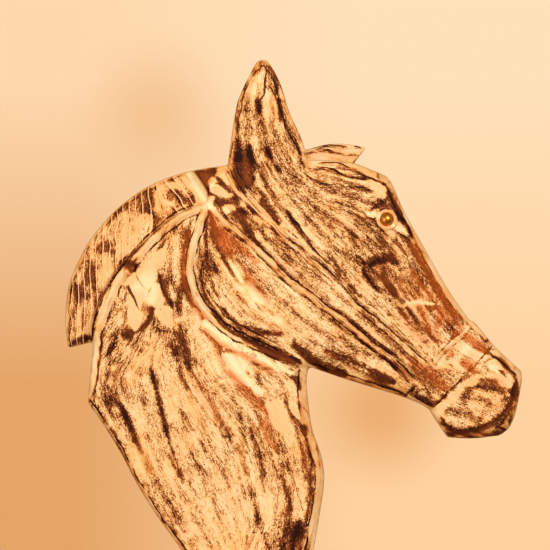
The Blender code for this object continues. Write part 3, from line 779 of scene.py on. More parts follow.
def carve(mesh):
    """Moves the flanks' points across by the relief, and every face-on point by the fine grain."""
    places = read_places(mesh)
    normals = point_normals(mesh)
    x, y, z = (places / MM).T
    side = np.sign(normals[:, 1])
    outward = smooth_step(np.abs(normals[:, 1]), EDGE_ON, FACE_ON)
    on_flank = np.abs(np.abs(y) - read_map(map_half, x, z)) < FLANK_TOLERANCE
    right = read_map(FINE_GRAIN * hair_fine + BROAD_GRAIN * hair_broad, x, z)
    left = read_map(FINE_GRAIN * hair_fine_left + BROAD_GRAIN * hair_broad_left, x, z)
    grain = np.where(side < 0, right, left)
    calm = smooth_step(np.hypot(x - EYE[0], z - EYE[1]), EYE_RING_MIDDLE, 2 * EYE_RING_MIDDLE)
    move = read_map(map_relief, x, z) * on_flank * outward + GRAIN_DEPTH * grain * outward * calm
    places[:, 1] += side * move * MM
    write_places(mesh, places)


def cut(target, shape):
    """Takes a shape out of the target at once, and removes it."""
    modifier = target.modifiers.new("cut", "BOOLEAN")
    modifier.operation = "DIFFERENCE"
    modifier.object = shape
    name = target.name
    done = evaluated_mesh(target)
    bpy.data.objects.remove(shape)
    return as_object(name, done)


carve(head.data)
if len(head.data.polygons) * 2 > HEAD_TRIANGLES:
    thinned = head.modifiers.new("thinned", "DECIMATE")
    thinned.ratio = HEAD_TRIANGLES / (2 * len(head.data.polygons))
    plainer = head.vertex_groups.new(name="not seen in the photograph")
    plainer.add(np.flatnonzero(point_normals(head.data)[:, 1] > -EDGE_ON).tolist(), 1.0, "REPLACE")
    thinned.vertex_group = plainer.name
    thinned.vertex_group_factor = KEEP_FACTOR
    head = as_object("carved_head", evaluated_mesh(head))
bpy.ops.mesh.primitive_cube_add(size=1, location=(0, 0, -SLAB / 2))
bpy.context.object.scale = (1, 1, SLAB)
head = cut(head, bpy.context.object)
drill_middle = EYE_HALF - (EYE_STUD_RIM + FIT_GAP) + DRILL_LENGTH / 2
for side in (-1, 1):
    bpy.ops.mesh.primitive_cylinder_add(vertices=64, radius=(EYE_STUD_RADIUS + FIT_GAP) * MM,
                                        depth=DRILL_LENGTH * MM, rotation=(math.pi / 2, 0, 0),
                                        location=(EYE[0] * MM, side * drill_middle * MM, EYE[1] * MM))
    head = cut(head, bpy.context.object)
head.data.shade_smooth()
print("carved head:", sum(len(p.vertices) - 2 for p in head.data.polygons), "triangles")

# %% [markdown]
# The paint is brown underneath and cream on top, and the brown shows where the brush skipped. A
# map of how much undercoat shows will hold that. It needs the markings that make this horse this
# one, and their places are read from the photograph.
#
# First come single brush strokes, and one dark line of partly painted shade along the mane's step.
# A row is columns and rows of pixels in turn, from the start of the stroke to its end, then half
# its width in pixels, and its strength.

# %% Dark strokes
NECK_STROKES = [
    (188, 232, 184, 252, 182, 271, 185, 290, 197, 310, 204, 318, 2.8, 0.75),
    (161, 274, 166, 292, 171, 304, 3.6, 0.8), (156, 303, 152, 314, 145, 325, 130, 336, 1.8, 0.7),
    (180, 294, 179, 312, 3.2, 0.5), (126, 267, 134, 261, 140, 256, 3.2, 0.8),
    (124, 336, 134, 332, 3, 0.9), (116, 338, 112, 346, 106, 356, 2.4, 0.85),
    (103, 342, 99, 365, 96, 385, 90, 401, 1.2, 0.9), (110, 352, 108, 372, 105, 390, 1.6, 0.6),
    (180, 326, 182, 340, 184, 355, 190, 368, 4.2, 0.85), (169, 325, 171, 345, 177, 362, 1.8, 0.6),
    (151, 368, 155, 385, 159, 398, 163, 417, 169, 440, 173, 452, 2.2, 0.8),
    (170, 455, 175, 466, 183, 482, 2, 0.8), (189, 366, 199, 385, 211, 402, 219, 420, 232, 442, 3, 0.55),
    (177, 371, 184, 383, 192, 391, 3, 0.5), (193, 394, 206, 413, 219, 430, 229, 447, 1.4, 0.7),
    (181, 410, 187, 420, 193, 430, 2.2, 0.55), (200, 440, 207, 451, 214, 462, 2.2, 0.75),
    (110, 388, 114, 400, 119, 404, 5.5, 0.65), (121, 404, 128, 420, 133, 434, 142, 452, 3.4, 0.65),
    (88, 403, 104, 425, 121, 452, 140, 487, 161, 520, 183, 550, 1.6, 0.7),
    (134, 440, 150, 470, 170, 500, 182, 524, 4.5, 0.34), (168, 500, 178, 515, 186, 530, 5, 0.4),
    (190, 450, 203, 478, 213, 500, 222, 530, 2.6, 0.5), (222, 470, 232, 500, 240, 540, 2.2, 0.45),
    (250, 428, 257, 450, 262, 470, 264, 490, 2.4, 0.85), (246, 480, 254, 505, 262, 530, 268, 548, 2.4, 0.6),
    (270, 452, 278, 470, 285, 487, 291, 510, 3, 0.85), (294, 377, 298, 383, 300, 389, 3.2, 0.9),
    (285, 400, 290, 414, 298, 421, 306, 427, 2.8, 0.75), (296, 425, 300, 445, 308, 460, 2.4, 0.5),
    (307, 440, 310, 455, 312, 470, 3.4, 0.7), (311, 470, 311, 498, 304, 523, 297, 538, 3.2, 0.75),
    (287, 508, 286, 528, 283, 550, 6, 0.8), (299, 520, 295, 540, 292, 552, 4, 0.8),
    (232, 395, 238, 412, 246, 428, 1.8, 0.45), (268, 395, 276, 410, 281, 430, 2, 0.4),
    (205, 470, 220, 492, 2, 0.45), (140, 270, 128, 290, 118, 315, 1.6, 0.45),
    (168, 238, 158, 250, 146, 268, 2, 0.45), (196, 216, 188, 228, 181, 240, 1.8, 0.5),
]
HEAD_STROKES = [
    (209, 212, 206, 228, 206, 243, 204, 261, 201, 277, 208, 302, 219, 320, 233, 331, 251, 342, 267, 348,
     292, 360, 2.4, 1),
    (256, 345, 275, 352, 299, 362, 3.8, 1), (206, 246, 206, 262, 211, 280, 220, 298, 3, 0.7),
    (218, 305, 231, 318, 251, 330, 281, 334, 2.8, 0.85), (210, 214, 214, 226, 219, 236, 2.4, 0.8),
    (213, 226, 212, 240, 218, 250, 2.6, 0.7), (222, 258, 232, 272, 240, 284, 2.2, 0.5),
    (196, 172, 203, 180, 208, 188, 3.6, 0.8), (208, 172, 220, 171, 3.8, 0.8),
    (214, 192, 222, 183, 4, 0.75), (222, 203, 233, 209, 245, 213, 4, 0.75),
    (229, 192, 236, 200, 2.4, 0.7), (242, 215, 250, 230, 256, 242, 3, 0.75),
    (250, 207, 262, 224, 278, 243, 292, 262, 6.5, 0.38), (262, 199, 270, 211, 279, 223, 2.6, 0.95),
    (270, 238, 284, 252, 292, 262, 3.6, 0.55), (287, 212, 295, 224, 303, 237, 2.2, 0.95),
    (303, 237, 314, 250, 326, 262, 1, 0.6), (325, 251, 336, 264, 347, 280, 356, 291, 2.8, 0.8),
    (296, 272, 312, 285, 330, 300, 2.6, 0.45), (330, 285, 350, 305, 376, 325, 2.6, 0.6),
    (345, 305, 368, 322, 392, 343, 418, 366, 3.4, 0.5), (330, 318, 350, 334, 376, 352, 2, 0.75),
    (316, 166, 332, 172, 350, 177, 366, 180, 1.6, 0.6), (338, 186, 355, 189, 374, 192, 2, 0.8),
    (387, 190, 392, 199, 398, 210, 403, 222, 3.4, 1), (372, 209, 379, 203, 388, 198, 3.6, 0.8),
    (402, 232, 408, 240, 412, 246, 1.2, 0.8), (300, 182, 322, 196, 346, 212, 360, 226, 12, 0.2),
    (310, 205, 330, 222, 352, 244, 8, 0.22), (368, 238, 380, 246, 386, 254, 4.5, 0.45),
    (371, 265, 379, 260, 388, 257, 396, 262, 3.4, 0.9), (363, 262, 365, 274, 371, 284, 380, 292, 1.8, 0.85),
    (384, 268, 388, 282, 396, 296, 3.6, 0.55), (390, 272, 404, 285, 412, 296, 3.4, 0.45),
    (409, 226, 413, 236, 417, 244, 2, 0.8), (410, 244, 421, 262, 433, 284, 446, 304, 456, 324, 2.6, 0.65),
    (405, 305, 414, 318, 424, 335, 2.4, 0.4), (418, 308, 426, 322, 431, 336, 442, 343, 1.8, 0.6),
    (446, 300, 452, 312, 459, 322, 2.2, 0.6), (294, 345, 308, 356, 322, 367, 345, 374, 4.2, 1),
    (326, 351, 345, 358, 364, 366, 2.8, 0.85), (370, 371, 382, 377, 394, 382, 3.2, 1),
    (350, 382, 372, 388, 390, 394, 1.2, 0.6), (416, 385, 410, 391, 404, 398, 0.9, 1),
    (410, 392, 420, 397, 432, 405, 2.6, 0.75), (416, 392, 424, 389, 430, 394, 1.6, 0.6),
    (405, 355, 418, 368, 436, 386, 3.6, 0.5), (421, 372, 430, 380, 440, 388, 4, 0.45),
    (492, 347, 475, 366, 457, 385, 434, 407, 1, 0.7), (484, 342, 489, 347, 2, 0.6),
    (440, 388, 447, 392, 436, 404, 2.6, 0.5), (466, 378, 474, 373, 486, 374, 2, 0.6),
    (484, 378, 496, 381, 505, 377, 2, 0.6), (470, 392, 462, 400, 470, 412, 3.4, 0.5),
    (480, 395, 488, 404, 480, 418, 3.6, 0.4), (444, 424, 456, 431, 474, 430, 490, 423, 2.8, 0.95),
    (490, 423, 504, 413, 512, 398, 517, 380, 2.6, 0.8), (484, 364, 494, 358, 503, 363, 512, 372, 1.6, 0.5),
    (494, 362, 502, 372, 508, 380, 2, 0.65), (509, 425, 514, 410, 519, 388, 2.2, 0.55),
]
EAR_STROKES = [
    (238, 138, 237, 155, 241, 176, 3.8, 0.95), (250, 146, 250, 160, 253, 178, 3.4, 0.85),
    (242, 100, 238, 120, 236, 140, 1.2, 0.3), (274, 92, 280, 110, 290, 132, 300, 154, 1.6, 0.4),
    (278, 100, 281, 115, 280, 124, 2, 0.8), (258, 66, 262, 62, 266, 66, 1, 0.5),
    (266, 70, 265, 85, 262, 98, 1, 0.8), (256, 100, 259, 112, 3, 0.85),
    (250, 95, 246, 112, 250, 126, 2.6, 0.4), (258, 120, 268, 140, 285, 160, 7, 0.3),
    (266, 148, 271, 158, 3, 0.8), (276, 166, 282, 171, 2.2, 0.7),
    (246, 178, 255, 190, 266, 196, 3.2, 0.5),
]
MANE_STROKES_AND_STEP_SHADE = [
    # The first row is the dark line along the step where the mane is set down below the crest: brown paint
    # in the step, and painted shade from the crest above it.
    (192, 208, 178, 214, 165, 224, 151, 236, 137, 250, 123, 262, 112, 279, 102, 296, 95, 316, 92, 341, 2,
     0.95),
    (72, 344, 82, 339, 92, 338, 3.4, 0.9), (134, 198, 132, 214, 133, 228, 4, 0.5),
    (148, 188, 150, 202, 147, 214, 4, 0.6), (162, 182, 163, 196, 161, 206, 3.4, 0.6),
    (176, 192, 178, 204, 168, 218, 3.8, 0.7), (188, 190, 194, 202, 3.6, 0.75),
    (102, 236, 108, 246, 112, 252, 3.4, 0.5), (90, 262, 92, 284, 88, 300, 3.6, 0.6),
    (74, 284, 76, 300, 74, 318, 3, 0.6), (84, 310, 82, 330, 3, 0.5), (70, 325, 68, 340, 2.4, 0.6),
    (118, 232, 116, 244, 2.6, 0.45),
]
# The dark strokes, among them the partly painted shade along the mane's step.
DARK_STROKES_AND_STEP_SHADE = NECK_STROKES + HEAD_STROKES + EAR_STROKES + MANE_STROKES_AND_STEP_SHADE
print("dark strokes:", len(DARK_STROKES_AND_STEP_SHADE))

# %% [markdown]
# Two more kinds of stroke carry a colour of their own: rust, where an older red-brown coat was
# rubbed through, and pale, where the cream was laid on thick.

# %% Rust and pale strokes
RUST_STROKES = [
    (210, 214, 216, 228, 224, 242, 231, 256, 5.5, 1.1), (217, 226, 232, 240, 244, 251, 256, 262, 3.6, 0.9),
    (231, 256, 246, 274, 258, 290, 270, 306, 3.6, 0.8), (240, 308, 262, 322, 285, 338, 2.2, 0.4),
    (188, 232, 184, 252, 183, 275, 188, 295, 3.4, 0.8), (190, 296, 198, 312, 207, 322, 3.6, 0.9),
    (204, 330, 222, 345, 246, 358, 279, 377, 2.4, 0.65), (214, 344, 219, 356, 224, 368, 2.6, 0.6),
    (228, 372, 244, 386, 258, 400, 267, 412, 3.6, 0.9), (267, 410, 268, 431, 277, 450, 2.6, 0.6),
    (190, 372, 205, 396, 222, 424, 5, 0.4), (411, 244, 422, 262, 434, 284, 450, 309, 3.2, 1.1),
    (418, 305, 428, 326, 440, 342, 4, 0.7), (444, 300, 452, 316, 462, 330, 4.5, 0.7),
    (378, 268, 392, 286, 408, 302, 7, 0.35), (400, 300, 425, 296, 442, 300, 4, 0.4),
    (412, 362, 426, 372, 440, 386, 6.5, 0.7), (466, 338, 476, 344, 486, 352, 4.5, 0.8),
    (458, 360, 468, 364, 474, 372, 4, 0.85), (444, 352, 452, 350, 3, 0.5),
    (436, 306, 442, 316, 436, 326, 4, 0.9), (420, 306, 424, 318, 428, 330, 3.5, 0.8),
    (400, 312, 414, 330, 424, 342, 5, 0.4), (486, 378, 500, 384, 508, 392, 3.6, 0.5),
    (204, 175, 212, 186, 4, 0.5), (246, 160, 248, 178, 4, 0.5),
    (303, 420, 306, 460, 312, 500, 3, 0.4), (330, 372, 352, 378, 2, 0.4),
    (326, 352, 334, 356, 3, 0.5),
]
PALE_STROKES = [
    (394, 306, 415, 302, 438, 305, 1.4, 0.6), (420, 297, 430, 303, 1.2, 0.5),
    (225, 260, 234, 270, 242, 282, 5.5, 0.9), (240, 285, 258, 302, 278, 320, 6, 0.7),
    (262, 268, 280, 284, 300, 302, 330, 326, 5, 0.5), (205, 322, 222, 336, 246, 350, 292, 374, 3, 0.9),
    (224, 350, 237, 366, 248, 380, 256, 392, 4.5, 0.8), (238, 358, 250, 374, 262, 392, 3.6, 0.8),
    (205, 345, 212, 362, 222, 380, 4, 0.5), (245, 420, 250, 450, 252, 480, 3, 0.4),
    (150, 225, 144, 238, 140, 246, 4, 0.5), (136, 288, 150, 280, 152, 300, 6, 0.5),
    (470, 345, 462, 354, 456, 362, 4, 0.6), (490, 366, 500, 372, 3, 0.6),
    (262, 72, 256, 82, 254, 92, 3, 0.7), (340, 176, 352, 182, 2, 0.5),
    (362, 214, 371, 214.5, 379, 217, 2.4, 1), (392, 225, 400, 229, 407, 236, 2.4, 0.8),
    (211, 186, 217, 182, 224, 188, 3, 0.8), (203, 196, 208, 204, 214, 208, 3, 0.8),
    (218, 208, 226, 212, 232, 218, 3, 0.6), (190, 172, 198, 186, 206, 200, 3.6, 0.9),
]
print("coloured strokes:", len(RUST_STROKES) + len(PALE_STROKES))

# %% [markdown]
# A stroke can't give a flake of paint with a crisp edge. Such places are closed outlines, again as
# columns and rows in turn: clean cream, bare brown and rust. Each is filled by counting how many
# of its sides lie above a place, and the border is then made uneven like the edge of a stroke.

# %% Patches with a crisp edge
CLEAN_PATCHES = [
    (372, 184, 380, 184, 387, 189, 388, 192, 384, 199, 379, 197, 374, 193, 369, 190),
    (268, 402, 276, 400, 284, 408, 288, 418, 286, 430, 279, 432, 272, 424, 268, 412),
    (127, 280, 132, 272, 141, 266, 149, 260, 155, 254, 165, 247, 168, 252, 164, 262, 159, 270, 157, 279,
     155, 281, 150, 288, 146, 298, 141, 305, 140, 311, 130, 294, 126, 285),
    (129, 295, 135, 302, 141, 311, 143, 315, 141, 321, 137, 331, 132, 329, 129, 322, 127, 315, 128, 305),
    (156, 282, 160, 284, 161, 290, 164, 298, 164, 304, 160, 310, 156, 309, 152, 305, 148, 300, 149, 295,
     152, 289),
    (165, 305, 172, 309, 172, 320, 170, 327, 165, 325, 159, 319, 155, 315, 155, 310, 160, 311),
    (189, 170, 194, 170, 200, 181, 206, 191, 209, 199, 207, 204, 201, 204, 196, 202, 194, 192, 190, 182,
     187, 175),
    (180, 174, 185, 173, 189, 184, 192, 196, 189, 192, 184, 182),
    (216, 169, 220, 168, 225, 171, 230, 175, 231, 180, 229, 185, 225, 182, 220, 177, 216, 176, 210, 180,
     207, 182, 210, 178, 217, 173),
    (210, 182, 215, 184, 220, 186, 226, 191, 231, 194, 235, 196, 231, 198, 226, 198, 220, 196, 214, 194,
     210, 190, 209, 186),
    (222, 207, 226, 205, 232, 205, 236, 209, 235, 214, 230, 214, 225, 211),
    (240, 203, 245, 204, 246, 206, 241, 207),
    (229, 179, 234, 184, 238, 190, 245, 196, 255, 201, 260, 206, 270, 217, 282, 230, 290, 240, 284, 236,
     272, 226, 265, 220, 257, 212, 251, 206, 245, 201, 237, 195, 231, 187),
    (252, 215, 257, 216, 263, 222, 261, 224, 256, 220),
    (209, 197, 214, 196, 216, 198, 213, 202, 214, 209, 210, 209, 207, 205),
    (200, 323, 209, 326, 217, 333, 229, 343, 243, 351, 260, 360, 274, 366, 286, 370, 298, 373, 280, 371,
     263, 365, 248, 359, 234, 351, 223, 346, 211, 336, 203, 329),
    (221, 354, 229, 353, 239, 354, 246, 361, 247, 373, 253, 384, 263, 389, 263, 394, 259, 398, 254, 394,
     253, 389, 247, 386, 239, 381, 231, 374, 226, 363),
    (289, 406, 300, 410, 306, 420, 299, 419, 293, 413),
    (398, 306, 407, 305, 414, 301, 420, 298, 426, 301, 436, 304, 430, 305, 414, 305, 405, 307),
    (398, 319, 404, 324, 413, 333, 423, 343, 432, 351, 428, 352, 418, 343, 406, 331, 398, 322),
    (366, 214, 373, 213, 380, 211, 380, 218, 378, 221, 373, 219, 368, 217),
    (397, 220, 402, 226, 409, 235, 406, 234, 400, 231, 394, 230, 392, 226),
    (384, 231, 391, 231, 397, 235, 401, 239, 398, 239, 391, 236, 387, 234),
    (486, 362, 490, 359, 495, 359, 500, 362, 502, 369, 499, 369, 495, 371, 491, 371, 487, 367),
    (505, 377, 511, 375, 514, 379, 512, 387, 507, 389, 502, 384, 495, 378, 492, 374),
    (465, 384, 467, 380, 475, 377, 479, 381, 475, 386, 467, 387),
    (461, 385, 464, 386, 461, 395, 450, 405, 439, 415, 433, 407, 445, 400),
    (460, 339, 470, 350, 478, 356, 482, 358, 478, 362, 470, 357, 462, 352, 456, 344),
    (121, 230, 126, 221, 129, 222, 130, 238, 125, 244, 121, 240), (134, 221, 141, 215, 142, 230, 137, 238),
    (146, 213, 152, 215, 150, 227, 145, 230), (154, 196, 158, 186, 163, 184, 162, 200, 158, 212),
    (168, 184, 178, 181, 180, 190, 172, 187), (104, 262, 108, 257, 107, 272, 99, 288, 98, 278),
]
DARK_PATCHES = [
    (158, 276, 162, 277, 166, 284, 169, 291, 168, 298, 171, 304, 167, 302, 164, 297, 162, 290, 160, 284),
    (151, 307, 155, 307, 155, 315, 154, 321, 150, 322, 146, 327, 141, 331, 139, 330, 143, 325, 148, 320,
     150, 315),
    (121, 334, 128, 324, 130, 330, 138, 333, 132, 335, 130, 339, 130, 345, 128, 346, 127, 339),
    (128, 265, 132, 261, 138, 257, 136, 264, 141, 265, 140, 268, 134, 272, 130, 273),
    (180, 289, 182, 295, 181, 305, 180, 311, 178, 310, 177, 302, 178, 294),
    (175, 332, 180, 330, 185, 339, 190, 350, 192, 362, 184, 356, 179, 342),
    (192, 171, 198, 170, 211, 169, 216, 170, 217, 174, 210, 179, 206, 183, 212, 194, 209, 196, 205, 188,
     199, 179),
    (214, 203, 217, 199, 222, 202, 224, 206, 221, 209, 216, 206),
    (214, 176, 220, 177, 225, 183, 230, 189, 232, 193, 225, 190, 220, 185),
    (216, 198, 232, 198, 240, 201, 235, 204, 225, 204, 220, 200),
    (226, 214, 237, 210, 245, 220, 252, 230, 256, 242, 248, 235, 240, 225, 232, 220),
    (257, 197, 265, 201, 270, 207, 279, 219, 270, 214, 262, 205),
    (231, 163, 240, 162, 252, 165, 250, 180, 243, 187, 238, 185, 234, 180, 232, 171),
    (177, 196, 184, 197, 194, 199, 195, 204, 186, 205, 181, 204),
    (286, 374, 297, 377, 300, 380, 299, 387, 296, 384, 293, 379),
    (294, 346, 303, 349, 314, 356, 326, 366, 336, 371, 328, 373, 320, 369, 309, 364, 300, 356, 297, 350),
    (221, 326, 231, 330, 247, 339, 264, 346, 277, 347, 286, 354, 299, 366, 289, 364, 274, 359, 260, 350,
     247, 342, 234, 335, 224, 329),
    (233, 323, 247, 326, 257, 331, 271, 333, 277, 334, 266, 336, 257, 336, 247, 330),
    (280, 389, 286, 394, 289, 401, 291, 411, 300, 423, 309, 430, 303, 430, 294, 423, 288, 413, 286, 400),
    (385, 192, 389, 191, 394, 200, 400, 209, 403, 215, 401, 219, 397, 214, 394, 210, 388, 208, 382, 209,
     381, 206, 385, 205, 389, 203, 387, 197),
    (401, 235, 408, 238, 413, 243, 411, 247, 407, 241),
    (378, 252, 388, 254, 397, 259, 394, 263, 384, 258, 372, 262, 366, 268, 368, 260),
    (395, 233, 402, 246, 408, 256, 402, 252, 396, 244),
    (484, 366, 486, 361, 490, 358, 496, 356, 502, 360, 508, 366, 514, 373, 517, 378, 517.5, 388, 515, 400,
     513, 400, 514.5, 388, 513, 378, 506, 370, 500, 364, 495, 359, 490, 360, 487, 363),
    (480, 377, 487, 379, 495, 380, 502, 386, 510, 390, 505, 395, 500, 395, 495, 390, 487, 391, 480, 387,
     472, 390, 466, 395, 462, 394, 465, 388, 472, 386, 477, 384),
    (446, 429, 456, 431, 468, 430, 480, 427, 491, 421, 500, 417, 506, 410, 511, 402, 514, 403, 510, 414,
     504, 421, 494, 426, 481, 431, 468, 434, 455, 434),
    (492, 431, 500, 432, 501, 435, 495, 435),
    (365, 368, 372, 369, 384, 374, 392, 379, 389, 384, 380, 382, 370, 376),
    (89, 265, 95, 267, 90, 282, 82, 296, 77, 304, 74, 293, 82, 279),
    (93, 249, 104, 240, 113, 243, 107, 252, 96, 253), (111, 213, 124, 202, 129, 202, 127, 210, 115, 215),
    (139, 193, 146, 189, 149, 204, 143, 215, 139, 210), (165, 190, 172, 189, 175, 196, 170, 202, 166, 198),
]
RUST_PATCHES = [
    (210, 215, 213, 220, 220, 229, 230, 236, 240, 242, 251, 252, 257, 259, 250, 259, 240, 253, 229, 258,
     224, 254, 217, 240, 211, 224),
    (233, 383, 240, 384, 247, 390, 254, 394, 260, 401, 266, 409, 264, 413, 257, 409, 248, 401, 240, 393),
    (257, 414, 263, 417, 269, 430, 277, 448, 271, 449, 264, 434, 259, 423),
    (200, 329, 209, 333, 219, 343, 231, 349, 248, 354, 261, 361, 271, 367, 280, 376, 269, 369, 257, 362,
     247, 358, 234, 355, 221, 351, 213, 344),
    (411, 245, 418, 245, 424, 256, 431, 269, 438, 281, 446, 295, 450, 304, 457, 311, 462, 318, 455, 317,
     450, 312, 442, 305, 437, 295, 431, 285, 425, 274, 420, 264, 414, 254),
    (409, 267, 414, 269, 420, 279, 425, 287, 432, 295, 437, 300, 430, 297, 421, 289, 414, 279),
    (425, 306, 432, 306, 441, 305, 450, 305, 452, 310, 451, 320, 450, 325, 447, 320, 445, 314, 441, 310,
     434, 311, 426, 310),
    (416, 309, 421, 307, 425, 316, 429, 325, 430, 334, 436, 341, 445, 341, 437, 344, 430, 338, 424, 329,
     421, 319),
    (451, 334, 455, 330, 460, 330, 459, 335, 450, 341, 447, 342, 451, 337),
    (463, 335, 468, 333, 480, 342, 490, 351, 487, 355, 478, 350, 470, 343),
    (445, 356, 452, 351, 455, 354, 450, 358, 447, 362),
    (459, 358, 466, 359, 473, 365, 470, 372, 464, 369, 460, 363),
    (425, 364, 434, 369, 444, 380, 450, 389, 442, 392, 434, 384, 426, 375),
]
print("patches:", len(CLEAN_PATCHES) + len(DARK_PATCHES) + len(RUST_PATCHES))

# %% [markdown]
# Last come wide soft zones without an edge, in rows like those of the strokes. Dark zones show
# more of the undercoat and light zones less. In a calm zone the cream covers well, so the noise
# that breaks it up is weaker there. Where zones of one kind overlap, the strongest one counts.

